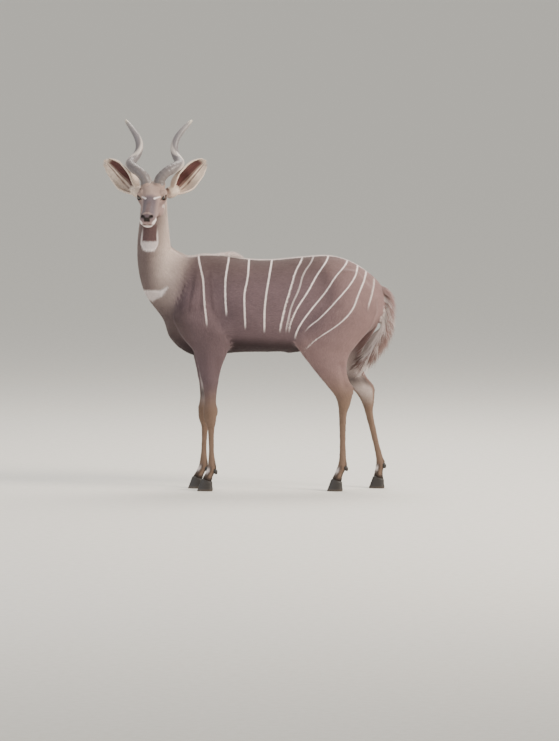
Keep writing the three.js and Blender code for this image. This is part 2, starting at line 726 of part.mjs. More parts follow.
function addTrunk(body, legs) {
  const { normal, distance } = neckRootPlane();
  const towardsNeck = normal.toArray();
  const earsAndHorns = SIDES.flatMap((side) => [ear(side, GAP), horn(side, GAP)]);
  const headParts = [headMass(GAP), ...earsAndHorns].map(inHeadPose);
  const locks = [
    ...ridge(upperLine(5, NECK_ROOT_RIB), CREST, 3),
    ...ridge(upperLine(NECK_ROOT_RIB, spineRibs.length - 3), MANE, 7),
  ];
  const whole = join(spine(), ...locks);
  const trunk = whole.trimByPlane(towardsNeck.map((n) => -n), -(distance - GAP / 2));
  const neck = whole.trimByPlane(towardsNeck, distance + GAP / 2);
  const tail = join(tailStem(), ...tailLocks().map((one) => carve(one, spine(GAP), ...legs)));
  body.add(
    named("torso", finished(largest(carve(trunk, ...legs, tailStem(GAP)))), material.coat),
    named("neck", finished(largest(carve(neck, ...legs, ...headParts))), material.neckCoat),
    named("tail", finished(largest(tail)), material.tailCoat),
  );
}

const kudu = new THREE.Group();
kudu.name = "lesser_kudu";
const body = new THREE.Group();
kudu.add(body);
addHead(body);
addTrunk(body, addLegs(body));

// The origin goes under the middle of the whole box.
kudu.updateMatrixWorld(true);
const box = new THREE.Box3().setFromObject(kudu, true);
const centre = box.getCenter(new THREE.Vector3());
body.position.set(-centre.x, -centre.y, 0);
kudu.updateMatrixWorld(true);

export default kudu;
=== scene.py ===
"""A lesser kudu bull, life size: hide, coat, mane, tail, eyes, horns and hooves over its solid model."""

import math

import bpy
import numpy as np
from bpy.props import FloatProperty, FloatVectorProperty, IntProperty, PointerProperty
from mathutils import Euler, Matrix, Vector
from mathutils.kdtree import KDTree


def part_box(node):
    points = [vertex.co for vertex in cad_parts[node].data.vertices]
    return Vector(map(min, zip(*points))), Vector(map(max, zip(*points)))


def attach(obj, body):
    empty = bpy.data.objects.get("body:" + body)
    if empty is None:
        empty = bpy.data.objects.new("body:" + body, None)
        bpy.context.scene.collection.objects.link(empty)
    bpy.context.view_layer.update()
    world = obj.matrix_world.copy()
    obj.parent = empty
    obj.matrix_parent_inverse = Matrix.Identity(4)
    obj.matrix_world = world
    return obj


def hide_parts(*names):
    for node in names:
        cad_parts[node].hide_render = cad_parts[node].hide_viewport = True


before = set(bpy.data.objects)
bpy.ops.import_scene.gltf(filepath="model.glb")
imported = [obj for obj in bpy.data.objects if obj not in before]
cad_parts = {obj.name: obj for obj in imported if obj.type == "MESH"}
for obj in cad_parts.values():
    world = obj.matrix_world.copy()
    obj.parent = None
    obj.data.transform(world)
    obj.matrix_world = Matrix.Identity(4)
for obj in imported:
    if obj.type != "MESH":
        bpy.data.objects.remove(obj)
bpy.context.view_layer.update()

bl_info = {
    "name": "Lesser Kudu Bull",
    "version": (1, 0, 0),
    "blender": (4, 5, 0),
    "location": "View3D > Sidebar > Kudu",
    "description": "Dresses the solid model of a lesser kudu bull in its hide, coat, horns, hooves and eyes",
    "category": "Add Mesh",
}

MM = 0.001
SIDES = {"left": -1, "right": 1}
UV_MAP = "OFBake"

# The stance: how far each foot stands behind (+) or ahead of (-) the square stance, in millimetres
STRIDE = {"foreleg_left": 16, "foreleg_right": -26, "hindleg_left": 4, "hindleg_right": 188}
JOINT_HEIGHT = {"foreleg": 800, "hindleg": 860}

# The head, in a frame of its own: it faces -X, and the point between the eyes is at the origin
HEAD_AT = np.array([-504.0, -95.0, 1204.0])
HEAD_DIP = 17
HEAD_TURN = 84
HEAD_AXES = np.array(Euler((0, math.radians(-HEAD_DIP), math.radians(HEAD_TURN)), "XYZ").to_matrix())
EYE_AT = (6, 45, 3)
EYE_RADIUS = 15.5
PUPIL = {"half_length": 6.4, "half_height": 3.0}
LIDS = {"shell": 3.5, "opening": (16, 16, 9.5), "forwards": 36, "slant": -12}
BROW = {"offset": (11, -6, 13), "radii": (26, 15, 15)}

HORN = {
    "base": (52, 28, 45),
    "lean": 33,
    "length": 322,
    "splay": 79,
    "coil": 32,
    "coil_tip": 13,
    "flat": 0.7,
    "start_angle": -88,
    "turn": 443,
    "thick_base": 22,
    "thick_tip": 2.5,
    "taper": 0.4,
    "keel": 0.18,
}
EAR = {
    "base": (107, 80, -12),
    "length": 183,
    "spread": 50,
    "lean": 8,
    "facing": 16,
    "width": 99,
    "wall": 5,
}
EAR_ROOT = {"at": (108, 69, -11), "radii": (23, 34, 23), "rise": 24}
CLAW = {"length": 64, "ahead": 0.62, "half_width": 11.2, "apart": 12.6}
DEWCLAW = {"radii": (8, 6.5, 12), "apart": 10, "sunk": 4, "below": 6, "lean": -25}
NECK_ROOT_X = -372


def hex_colour(code):
    """An sRGB hex value as linear red, green and blue."""
    parts = [int(code[i:i + 2], 16) / 255 for i in (1, 3, 5)]
    return tuple(c / 12.92 if c <= 0.04045 else ((c + 0.055) / 1.055) ** 2.4 for c in parts)


# Settings that a user would change


def colour_setting(name, code, description):
    return FloatVectorProperty(
        name=name, description=description, subtype="COLOR", size=3, min=0, max=1, default=hex_colour(code)
    )


def length_setting(name, metres, description):
    return FloatProperty(name=name, description=description, default=metres, unit="LENGTH")


def angle_setting(name, degrees, description):
    return FloatProperty(name=name, description=description, default=math.radians(degrees), unit="ROTATION")


class KuduCoatSettings(bpy.types.PropertyGroup):
    depth: length_setting("Coat depth", 0.0022, "How far the hide lies inside the solids")
    length: length_setting("Coat length", 0.012, "Length of the short coat's tufts")
    width: length_setting("Tuft width", 0.0027, "Width of the short coat's tufts")
    spacing: length_setting("Tuft spacing", 0.0022, "Least distance between tufts on the trunk")
    mane: length_setting("Mane length", 0.052, "Length of the hair along the neck and back")
    tail: length_setting("Tail hair length", 0.084, "Length of the bushy tail's hair")
    seed: IntProperty(name="Seed", description="Fixes where the tufts grow", default=11)


class KuduColourSettings(bpy.types.PropertyGroup):
    flank: colour_setting("Flank", "#6e5b5f", "Grey-brown of the barrel and flanks")
    # Back: darker brown along the top of the body, partly its own colour and partly painted shade on the top,
    # against the light from above
    back: colour_setting("Back", "#61504f", "Warmer brown along the back")
    # Rump: the paler haunch, partly its own colour and partly painted light on the rear, which faces the light;
    # the back of the head, the thighs and the tail's root use it too
    rump: colour_setting("Rump", "#927775", "Paler haunch")
    # Belly: dark underline, partly its own hair and partly painted shade under the body; also the painted shade in
    # the shoulder's folds and between the forelegs
    belly: colour_setting("Belly", "#35272a", "Dark underline")
    # Chest: mostly painted shade on the lower shoulder and chest; on the neck's front partly greyer hair and
    # partly painted shade; also the darker middle of the ears' backs
    chest: colour_setting("Chest", "#5b4c4c", "Dark lower shoulder and chest")
    # Neck: pale grey-beige set to the tone of the neck's lit side, so partly painted light; the head and the ears'
    # backs start from it too
    neck: colour_setting("Neck", "#cebab0", "Grey-beige neck")
    # Throat: dark band under the jaw, partly its own hair and partly painted shade under the chin; also the nose
    # bridge's dark middle and the dark patch by the horns
    throat: colour_setting("Throat", "#66504f", "Dark band under the jaw")
    forehead: colour_setting("Forehead", "#ab9287", "Pale tawny forehead and cheeks")
    nose: colour_setting("Nose bridge", "#5d5259", "Mauve-grey bridge of the nose")
    leg: colour_setting("Lower legs", "#7f6859", "Tawny lower legs")
    white: colour_setting("White marks", "#fbeeeb", "Stripes, throat, lips and tail")
    black: colour_setting("Black marks", "#2b2320", "Leg patches and tail tip")
    ear_inside: colour_setting("Inside of the ears", "#57282a", "Red-brown skin and hair inside the ears")
    ear_edge: colour_setting("Ear edges", "#fbe6d3", "Cream hair on the ears' edges")


class KuduStageSettings(bpy.types.PropertyGroup):
    distance: length_setting("Camera distance", 25.0, "From the model")
    height_of_frame: length_setting("Frame height", 3.038, "What the picture takes in at the model")
    azimuth: angle_setting("Azimuth", 0, "Camera direction round the model")
    elevation: angle_setting("Elevation", 4, "Camera height as an angle")
    key: FloatProperty(
        name="Key light", description="Power of the main soft light", default=690.0, unit="POWER"
    )


# Small number helpers


def mix(a, b, t):
    return a + (b - a) * t


def soft(x, low, high):
    """A smooth step from 0 at low to 1 at high; high may be the smaller."""
    t = np.clip((np.asarray(x, float) - low) / (high - low), 0, 1)
    return t * t * (3 - 2 * t)


def unit(vectors):
    return vectors / np.maximum(np.linalg.norm(vectors, axis=-1, keepdims=True), 1e-12)


def to_body(points):
    """From the head's frame to the body's, both in millimetres."""
    return points @ HEAD_AXES.T + HEAD_AT


def to_head(points):
    return (points - HEAD_AT) @ HEAD_AXES


def design_zero():
    """Where the design's zero lies in the frame, in metres, worked out from the left eyeball."""
    low, high = (np.array(corner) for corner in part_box("eye_left"))
    x, y, z = EYE_AT
    return (low + high) / 2 - to_body(np.array([[x, -y, z]]))[0] * MM


ZERO = design_zero()


def to_frame(points):
    return np.asarray(points) * MM + ZERO


def from_frame(points):
    return (points - ZERO) / MM


# Ribs: closed cross-sections, from a front or upper outline point to a rear or lower one


def rib(front, back, wide, y=0, low=0, turn=0):
    """`wide` is the half width, `y` the middle's place, `low` fills the lower half, `turn` is in degrees."""
    return np.array([*front, *back, wide, y, low, turn], float)


SPINE_RIBS = [
    rib((452, 800), (446, 742), 16),
    rib((432, 846), (424, 690), 52),
    rib((382, 896), (374, 640), 88),
    rib((305, 943), (292, 610), 110),
    rib((222, 964), (200, 594), 124, low=0.05),
    rib((105, 958), (85, 572), 134, low=0.1),
    rib((-20, 947), (-20, 567), 146, low=0.12),
    rib((-130, 952), (-130, 566), 146, low=0.08),
    rib((-222, 966), (-235, 558), 130),
    rib((-295, 967), (-340, 558), 114, low=-0.05),
    rib((-338, 960), (-427, 620), 102, low=-0.08),
    rib((NECK_ROOT_X, 965), (-460, 702), 90, turn=4),
    rib((-424, 996), (-530, 800), 78, turn=14),
    rib((-431, 1036), (-560, 900), 68, turn=30, y=-2),
    rib((-431, 1090), (-569, 1000), 62, turn=50, y=-2),
    rib((-434, 1146), (-562, 1092), 57, turn=68, y=2),
    rib((-436, 1200), (-556, 1172), 52, turn=80, y=12),
    rib((-446, 1236), (-540, 1226), 40, turn=84, y=18),
]
FORE_RIBS = [
    rib((-330, 914), (-252, 912), 12, y=40),
    rib((-362, 872), (-236, 872), 31, y=67),
    rib((-402, 790), (-208, 790), 44, y=79),
    rib((-415, 712), (-190, 705), 48, y=83),
    rib((-388, 642), (-178, 632), 45, y=81),
    rib((-341, 580), (-196, 574), 39, y=77),
    rib((-318, 512), (-222, 510), 31, y=73),
    rib((-304, 440), (-238, 440), 25, y=70),
    rib((-298, 378), (-247, 378), 22, y=68),
    rib((-302, 330), (-246, 326), 24, y=67),
    rib((-298, 286), (-250, 282), 21, y=66),
    rib((-288, 250), (-257, 250), 15, y=65),
    rib((-286, 170), (-260, 170), 13, y=64),
    rib((-289, 122), (-256, 116), 17, y=64),
    rib((-293, 96), (-254, 86), 18, y=64),
    rib((-304, 70), (-268, 58), 16, y=64),
    rib((-318, 47), (-272, 37), 21, y=64),
]
HIND_RIBS = [
    rib((262, 915), (340, 902), 20, y=66),
    rib((196, 866), (400, 826), 50, y=74),
    rib((140, 784), (420, 748), 66, y=80),
    rib((94, 704), (398, 680), 64, y=84),
    rib((74, 640), (352, 620), 55, y=85),
    rib((98, 580), (308, 568), 45, y=83),
    rib((137, 525), (294, 515), 35, y=80),
    rib((178, 472), (298, 470), 27, y=77),
    rib((220, 420), (314, 430), 23, y=75),
    rib((245, 385), (318, 402), 25, y=74),
    rib((255, 350), (307, 354), 23, y=73),
    rib((258, 305), (293, 308), 17, y=72),
    rib((260, 200), (289, 200), 14, y=71),
    rib((258, 138), (291, 132), 17, y=70),
    rib((253, 108), (292, 100), 19, y=70),
    rib((240, 76), (276, 64), 16, y=70),
    rib((226, 47), (272, 37), 21, y=70),
]
TAIL_RIBS = [
    rib((412, 850), (402, 824), 14),
    rib((440, 840), (420, 808), 17),
    rib((466, 792), (438, 782), 17),
    rib((468, 730), (440, 728), 16),
    rib((454, 665), (427, 658), 14),
    rib((424, 602), (401, 594), 12),
    rib((386, 547), (368, 539), 9),
    rib((350, 506), (340, 499), 4),
]
HEAD_RIBS = [
    rib((132, 4), (124, -48), 26),
    rib((118, 26), (108, -72), 44, low=-0.1),
    rib((88, 42), (76, -90), 51, low=-0.2),
    rib((52, 48), (42, -97), 54, low=-0.26),
    rib((18, 43), (8, -93), 54, low=-0.28),
    rib((-18, 32), (-26, -87), 42, low=-0.2),
    rib((-55, 19), (-62, -82), 36, low=-0.1),
    rib((-92, 8), (-98, -79), 34, low=-0.02),
    rib((-126, 1), (-130, -79), 32),
    rib((-152, -6), (-150, -76), 32),
    rib((-167, -14), (-162, -68), 25),
    rib((-174, -26), (-168, -56), 13),
]


def rib_between(ribs, i, t):
    """Catmull-Rom blend of two neighbouring ribs, number by number."""
    a, b, c, d = (ribs[min(max(i + k, 0), len(ribs) - 1)] for k in (-1, 0, 1, 2))
    return 0.5 * (2 * b + (c - a) * t + (2 * a - 5 * b + 4 * c - d) * t**2 + (3 * b - a - 3 * c + d) * t**3)


def ring_of(values, sides, side=1, grow=0.0):
    """The points round one rib: angle 0 is its front or upper outline point, and half a turn the other."""
    fx, fz, bx, bz, wide, y, low, turn = values
    half = np.array([(fx - bx) / 2, 0, (fz - bz) / 2])
    half *= 1 + grow / np.linalg.norm(half)
    angle = np.arange(sides) * 2 * math.pi / sides
    points = np.cos(angle)[:, None] * half
    points[:, 1] += np.sin(angle) * (1 - low * np.cos(angle)) * (wide + grow)
    c, s = math.cos(math.radians(turn)), math.sin(math.radians(turn))
    points = points @ np.array([[c, -s, 0], [s, c, 0], [0, 0, 1]]).T
    points += [(fx + bx) / 2, y, (fz + bz) / 2]
    return points * [1, side, 1]


def loft(ribs, sides, step, side=1, grow=0.0):
    """Rings over a row of ribs, about `step` millimetres apart."""
    rings = []
    for i in range(len(ribs) - 1):
        middles = [ring_of(r, 8, side).mean(0) for r in ribs[i:i + 2]]
        count = max(1, round(np.linalg.norm(middles[1] - middles[0]) / step))
        rings += [ring_of(rib_between(ribs, i, s / count), sides, side, grow) for s in range(count)]
    rings.append(ring_of(ribs[-1], sides, side, grow))
    return np.array(rings)


def striding(leg):
    """The ribs of one leg, set forward or back by its stride, most at the foot."""
    kind = leg.split("_")[0]
    moved = []
    for values in FORE_RIBS if kind == "foreleg" else HIND_RIBS:
        shift = stride_at(leg, (values[1] + values[3]) / 2)
        moved.append(values + np.array([shift, 0, shift, 0, 0, 0, 0, 0]))
    return moved


def stride_at(leg, z):
    share = np.clip(1 - np.asarray(z, float) / JOINT_HEIGHT[leg.split("_")[0]], 0, None)
    return STRIDE[leg] * share**1.15


def ear_sheet(along, round_, inner):
    """Points of the ear's outer or inner face, in its own frame, from the share along it and across it."""
    leaf = (1 - np.abs(2 * mix(0.06, 0.985, along) - 1) ** 2.4) ** 0.625
    half = EAR["width"] / 2 * leaf
    curl = np.radians(mix(146, 52, soft(along, 0, 0.75)))
    radius = half / np.sin(np.minimum(curl, math.pi / 2))
    wall = EAR["wall"] * mix(1.5, 0.8, along)
    reach = np.where(inner, np.maximum(radius - wall, radius * 0.3), radius)
    angle = mix(-curl, curl, round_)
    x = np.cos(angle) * reach - radius * np.cos(curl) * 0.6 + 24 * along**2
    return np.stack([x, np.sin(angle) * reach, EAR["length"] * along + 0 * angle], axis=-1)


def placed_ear(points, side):
    """From the ear's own frame, standing on its root along +Z with its cup open to -X, to the body's."""
    turns = (
        Euler((0, 0, -side * math.radians(EAR["facing"]))),
        Euler((0, math.radians(EAR["lean"]), 0)),
        Euler((-side * math.radians(EAR["spread"]), 0, 0)),
    )
    for turn in turns:
        points = points @ np.array(turn.to_matrix()).T
    x, y, z = EAR["base"]
    return to_body(points + [x, side * y, z])


def ear_rings(side):
    """Closed rings up the ear: across its outer face, then back across its inner one."""
    along, round_ = np.meshgrid(np.linspace(0, 1, 46), np.linspace(0, 1, 26), indexing="ij")
    outer = ear_sheet(along, round_, False)
    inner = ear_sheet(along, round_, True)[:, ::-1]
    return placed_ear(np.concatenate([outer, inner], axis=1), side)


# Meshes


def shell_of(rings):
    """Points and faces of a closed skin over rings of equal count, with a fan over each end."""
    count, sides = rings.shape[:2]
    points = np.vstack([rings.reshape(-1, 3), rings[0].mean(0), rings[-1].mean(0)])
    faces = []
    for r in range(count - 1):
        for k in range(sides):
            a, b = r * sides + k, r * sides + (k + 1) % sides
            faces.append((a, b, b + sides, a + sides))
    last = (count - 1) * sides
    hubs = count * sides
    for k in range(sides):
        faces.append(((k + 1) % sides, k, hubs))
        faces.append((last + k, last + (k + 1) % sides, hubs + 1))
    return facing_out(points, faces)


def facing_out(points, faces):
    """The same faces, turned round if they enclose a negative volume."""
    fans = [(f[0], f[i], f[i + 1]) for f in faces for i in range(1, len(f) - 1)]
    corners = points[np.array(fans)]
    volume = np.einsum("ij,ij->i", corners[:, 0], np.cross(corners[:, 1], corners[:, 2])).sum()
    return points, faces if volume > 0 else [f[::-1] for f in faces]


def ellipsoid(at, radii, tilt=(0, 0, 0), across=28, up=18):
    """A closed ellipsoid, tilted in degrees."""
    rows = []
    for i in range(1, up):
        polar = math.pi * i / up
        angle = np.arange(across) * 2 * math.pi / across
        row = [np.sin(polar) * np.cos(angle), np.sin(polar) * np.sin(angle), np.full(across, math.cos(polar))]
        rows.append(np.stack(row, axis=1))
    rings = np.array(rows) * radii
    points, faces = shell_of(rings)
    points[-2:] = [[0, 0, radii[2]], [0, 0, -radii[2]]]
    turn = np.array(Euler([math.radians(a) for a in tilt], "XYZ").to_matrix())
    return points @ turn.T + at, faces


def joined(shells):
    """Several shells as one list of points and one of faces."""
    points, faces, start = [], [], 0
    for some_points, some_faces in shells:
        points.append(some_points)
        faces += [tuple(n + start for n in f) for f in some_faces]
        start += len(some_points)
    return np.vstack(points), faces


def new_object(name, points, faces, smooth=True):
    """A mesh object at the origin, from points already in the frame."""
    mesh = bpy.data.meshes.new(name)
    mesh.from_pydata(np.asarray(points).tolist(), [], faces)
    mesh.update()
    if smooth:
        mesh.shade_smooth()
    made = bpy.data.objects.new(name, mesh)
    bpy.context.scene.collection.objects.link(made)
    return made


def evaluated_mesh(source):
    """The object's mesh with its modifiers applied."""
    graph = bpy.context.evaluated_depsgraph_get()
    return bpy.data.meshes.new_from_object(source.evaluated_get(graph), depsgraph=graph)


def coordinates(mesh):
    flat = np.empty(len(mesh.vertices) * 3)
    mesh.vertices.foreach_get("co", flat)
    return flat.reshape(-1, 3)


def vertex_normals(mesh):
    flat = np.empty(len(mesh.vertices) * 3)
    mesh.vertices.foreach_get("normal", flat)
    return flat.reshape(-1, 3)


def edge_pairs(mesh):
    flat = np.empty(len(mesh.edges) * 2, int)
    mesh.edges.foreach_get("vertices", flat)
    return flat.reshape(-1, 2)


def set_coordinates(mesh, points):
    mesh.vertices.foreach_set("co", np.asarray(points, float).ravel())
    mesh.update()


def store(mesh, name, kind, values, domain="POINT"):
    """Writes an attribute of the mesh."""
    if name in mesh.attributes:
        mesh.attributes.remove(mesh.attributes[name])
    field = {"FLOAT": "value", "INT": "value", "FLOAT_VECTOR": "vector", "FLOAT_COLOR": "color"}[kind]
    mesh.attributes.new(name, kind, domain).data.foreach_set(field, np.ascontiguousarray(values).ravel())


def neighbour_mean(values, edges):
    """The mean of each vertex's neighbours."""
    count = len(values)
    degree = np.maximum(np.bincount(edges.ravel(), minlength=count), 1)
    total = np.empty_like(values)
    for axis in range(values.shape[1]):
        total[:, axis] = np.bincount(edges[:, 0], values[edges[:, 1], axis], count)
        total[:, axis] += np.bincount(edges[:, 1], values[edges[:, 0], axis], count)
    return total / degree[:, None]


# The hide's charts: which form any point lies on, how far along and round it is, and how the hair lies there

TRUNK, HEAD, TAIL = 0, 1, 2
LEGS = {"foreleg_left": 3, "foreleg_right": 4, "hindleg_left": 5, "hindleg_right": 6}
EARS = {"left": 7, "right": 8}
EAR_INSIDES = {"left": 9, "right": 10}


def on_legs(form):
    return np.isin(form, list(LEGS.values()))


def on_body(form):
    return (form == TRUNK) | on_legs(form)


def folded_over(points):
    """The points, with those on the left mirrored to the right."""
    return np.stack([points[:, 0], np.abs(points[:, 1]), points[:, 2]], axis=1)


class Charts:
    """Sample points of every form, with each one's place on the form, searched by nearness."""

    def __init__(self):
        self.rows = {name: [] for name in ("at", "form", "along", "round", "ahead", "about", "lie")}
        self.length = {}
        self.add(TRUNK, loft(SPINE_RIBS, 48, 10), lie=-1)
        self.add(HEAD, to_body(loft(HEAD_RIBS, 32, 6)), lie=1)
        self.add(TAIL, loft(TAIL_RIBS, 16, 8), lie=1)
        for leg, form in LEGS.items():
            side = SIDES[leg.split("_")[1]]
            self.add(form, loft(striding(leg), 24, 9, side), lie=1)
        along, round_ = np.meshgrid(np.linspace(0, 1, 40), np.linspace(0, 1, 24), indexing="ij")
        for name, side in SIDES.items():
            self.add(EARS[name], placed_ear(ear_sheet(along, round_, False), side), lie=1, wraps=False)
            self.add(EAR_INSIDES[name], placed_ear(ear_sheet(along, round_, True), side), lie=1, wraps=False)
        self.rows = {name: np.concatenate(parts) for name, parts in self.rows.items()}
        self.tree = KDTree(len(self.rows["at"]))
        for i, point in enumerate(self.rows["at"]):
            self.tree.insert(point, i)
        self.tree.balance()

    def add(self, form, rings, lie, wraps=True):
        count, sides = rings.shape[:2]
        middles = rings.mean(1)
        steps = np.linalg.norm(np.diff(middles, axis=0), axis=1)
        along = np.concatenate([[0], np.cumsum(steps)])
        self.length[form] = along[-1]
        ahead = np.gradient(rings, along, axis=0)
        share = np.arange(sides) / (sides if wraps else sides - 1)
        if wraps:
            about = (np.roll(rings, -1, axis=1) - np.roll(rings, 1, axis=1)) * sides / 2
        else:
            about = np.gradient(rings, share, axis=1)
        flat = count * sides
        self.rows["at"].append(rings.reshape(-1, 3))
        self.rows["form"].append(np.full(flat, form))
        self.rows["along"].append(np.repeat(along, sides))
        self.rows["round"].append(np.tile(share, count))
        self.rows["ahead"].append(ahead.reshape(-1, 3))
        self.rows["about"].append(about.reshape(-1, 3))
        self.rows["lie"].append(unit(ahead.reshape(-1, 3)) * lie)

    def find(self, points):
        """Form, millimetres along, share round and lie of the hair, for points in design millimetres."""
        found = np.array([self.tree.find(point)[1] for point in points])
        rows = {name: values[found] for name, values in self.rows.items()}
        offset = points - rows["at"]
        ahead, about = rows["ahead"], rows["about"]
        further = np.einsum("ij,ij->i", offset, ahead) / np.einsum("ij,ij->i", ahead, ahead)
        rows["along"] = rows["along"] + further
        turn = np.einsum("ij,ij->i", offset, about) / np.maximum(np.einsum("ij,ij->i", about, about), 1)
        rows["round"] = rows["round"] + np.clip(turn, -0.04, 0.04)
        return rows


CHARTS = Charts()


def trunk_length_at(index):
    """Millimetres along the trunk's middle line to one of its ribs."""
    middles = loft(SPINE_RIBS[:index + 1], 48, 10).mean(1)
    return np.linalg.norm(np.diff(middles, axis=0), axis=1).sum()


NECK_ROOT = trunk_length_at(next(i for i, values in enumerate(SPINE_RIBS) if values[0] == NECK_ROOT_X))


# Markings, in design millimetres

# Each flank's white stripes from rump to shoulder, as (x, z) from the back down, with how clearly each shows
STRIPES = [
    (0.7, [(405, 853), (392, 791), (378, 757)]),
    (0.9, [(375, 887), (344, 819), (317, 744), (256, 683), (174, 635), (113, 581)]),
    (1.0, [(341, 910), (317, 859), (256, 791), (201, 730), (147, 683), (116, 669)]),
    (1.0, [(303, 938), (249, 887), (208, 819), (154, 757), (103, 689), (79, 635)]),
    (1.0, [(222, 958), (174, 893), (133, 819), (86, 751), (59, 689), (55, 662)]),
    (0.45, [(161, 955), (113, 893), (100, 832), (66, 764), (52, 689), (45, 662)]),
    (1.0, [(120, 961), (86, 907), (65, 832), (45, 771), (31, 710), (21, 662)]),
    (0.95, [(-11, 955), (-23, 887), (-36, 812), (-43, 744), (-43, 662)]),
    (0.95, [(-106, 949), (-111, 873), (-126, 818), (-124, 744), (-121, 676)]),
    (1.0, [(-186, 965), (-203, 873), (-203, 798), (-198, 730)]),
    (0.8, [(-314, 961), (-293, 873), (-288, 778), (-278, 689)]),
]
STRIPE_WIDTH = 6.2
# A slanting stripe's width across is this share of its width along X, on average
STRIPE_SLANT = 0.86
# How far past the first and last stripe the count runs on, and where the stripes end beside the spine
PAST_STRIPES = 200
SPINE_HALF = 8
# Painted shade in the folds of loose skin on the shoulder: where each fold lies at mid height, and how far it
# slants over its length
SHOULDER_FOLD_SHADES = [(-378, 10), (-338, 14), (-300, 6), (-262, -8)]


def stripe_fields(points):
    """Each point's place among the stripes as a smooth count of them, the distance in millimetres between the
    two on either side, and how clearly the nearest one shows."""
    x, z = points[:, 0], points[:, 2]
    crossings, strengths = [], []
    for strength, path in STRIPES:
        xs, zs = np.array(path).T
        eased = [np.interp(z + shift, zs[::-1], xs[::-1]) for shift in (-24, -12, 0, 12, 24)]
        crossings.append(np.mean(eased, axis=0))
        reach = soft(z, zs[-1] - 14, zs[-1] + 22) * soft(z, zs[0] + 30, zs[0] + 6)
        strengths.append(strength * reach)
    crossings, strengths = np.array(crossings), np.array(strengths)
    outside = np.vstack([crossings[0] + PAST_STRIPES, crossings, crossings[-1] - PAST_STRIPES])
    outside = np.minimum.accumulate(outside - np.arange(len(outside))[:, None] * 1e-3, axis=0)
    phase = np.full(len(x), 0.0)
    pitch = np.full(len(x), float(PAST_STRIPES))
    for i in range(len(outside) - 1):
        here = (x <= outside[i]) & (x > outside[i + 1])
        gap = np.maximum(outside[i] - outside[i + 1], 1)
        phase = np.where(here, i + (outside[i] - x) / gap, phase)
        pitch = np.where(here, gap, pitch)
    nearest = np.rint(phase).astype(int) - 1
    real = (nearest >= 0) & (nearest < len(STRIPES))
    gain = strengths[np.clip(nearest, 0, len(STRIPES) - 1), np.arange(len(x))] * real
    return phase, pitch * STRIPE_SLANT, gain


def near_segment(points, start, end):
    """The distance from each point to a straight stretch."""
    start, end = np.array(start, float), np.array(end, float)
    way = end - start
    t = np.clip((points - start) @ way / max(way @ way, 1e-9), 0, 1)
    return np.linalg.norm(points - (start + t[:, None] * way), axis=1)


class Paint:
    """Colours laid over one another, from where each point is."""

    def __init__(self, points, found):
        self.points = points
        self.found = found
        self.colours = bpy.context.scene.kudu_colours
        self.value = np.tile(np.array(self.colours.flank), (len(points), 1))

    def lay(self, name, amount):
        target = np.array(getattr(self.colours, name))
        self.value = self.value + (target - self.value) * np.clip(amount, 0, 1)[:, None]


def round_the_neck(points):
    """Degrees round the upper neck's middle line, from straight ahead towards the animal's left."""
    return np.degrees(np.arctan2(-(points[:, 1] + 5), -(points[:, 0] + 487)))


def paint_body(paint, on):
    """The trunk and the upper legs, painted alike so that no edge shows where they meet."""
    x, _, z = paint.points.T
    # The top of the body painted darker: partly the back's own colour, partly painted shade against the light from
    # above
    paint.lay("back", on * soft(z, 820, 950))
    # The haunch painted paler: partly its own colour, partly painted light on the rear of the body, which faces
    # the light
    paint.lay("rump", on * soft(x, 110, 370) * 0.9)
    # Painted shade: the lower shoulder and chest darker towards the bottom, where the body turns away from the
    # light
    paint.lay("chest", on * soft(x, -140, -290) * soft(z, 780, 600) * 0.22)
    paint.lay("chest", on * soft(x, -300, -420) * soft(z, 810, 700) * 0.85)
    for fold, drift in SHOULDER_FOLD_SHADES:
        off = np.abs(x - fold - drift * (z - 820) / 110)
        # Painted shade: a dark line down each fold of the shoulder's skin
        paint.lay("belly", on * soft(off, 11, 2) * soft(z, 720, 770) * soft(z, 930, 880) * 0.26)


def paint_trunk(paint, on):
    x, y, z = paint.points.T
    along = paint.found["along"]
    below = np.abs(paint.found["round"] - 0.5) * 2
    belly_line = mix(622, 604, soft(x, -200, 120))
    # The underline painted dark: partly its own colour, partly painted shade under the body
    paint.lay("belly", on * soft(z, belly_line + 34, belly_line - 22) * soft(x, 330, 220) * 0.95)
    neck = soft(along, NECK_ROOT - 90, NECK_ROOT + 110)
    paint.lay("neck", on * neck)
    # The neck's front darker in the chest colour: partly the throat's greyer hair, partly painted shade on the
    # side turned from the light
    paint.lay("chest", on * neck * soft(below, 0.66, 0.12) * 0.85)
    # Painted shade on the lower front of the chest, and under it between the forelegs in the belly colour
    paint.lay("chest", on * soft(x, -330, -430) * soft(z, 800, 715) * 0.9)
    paint.lay("belly", on * soft(x, -290, -370) * soft(z, 690, 590) * 0.6)
    spine = soft(np.abs(y), 13, 6) * soft(along, NECK_ROOT + 30, NECK_ROOT - 60) * soft(z, 880, 930)
    paint.lay("white", on * spine * 0.7)
    paint_throat(paint, on * neck)
    top = 826 + 17 * soft(x, -475, -437)
    bottom = np.interp(x, (-543, -503, -465, -437), (798, 780, 804, 842))
    bib = soft(z, bottom - 3, bottom + 3) * soft(z, top + 2.5, top - 2.5) * soft(x, -434, -440)
    paint.lay("white", on * bib * 0.6)
    rim = bib * np.maximum(soft(z, top - 9, top - 4), soft(x, -478, -462))
    paint.lay("white", on * rim * 0.8)


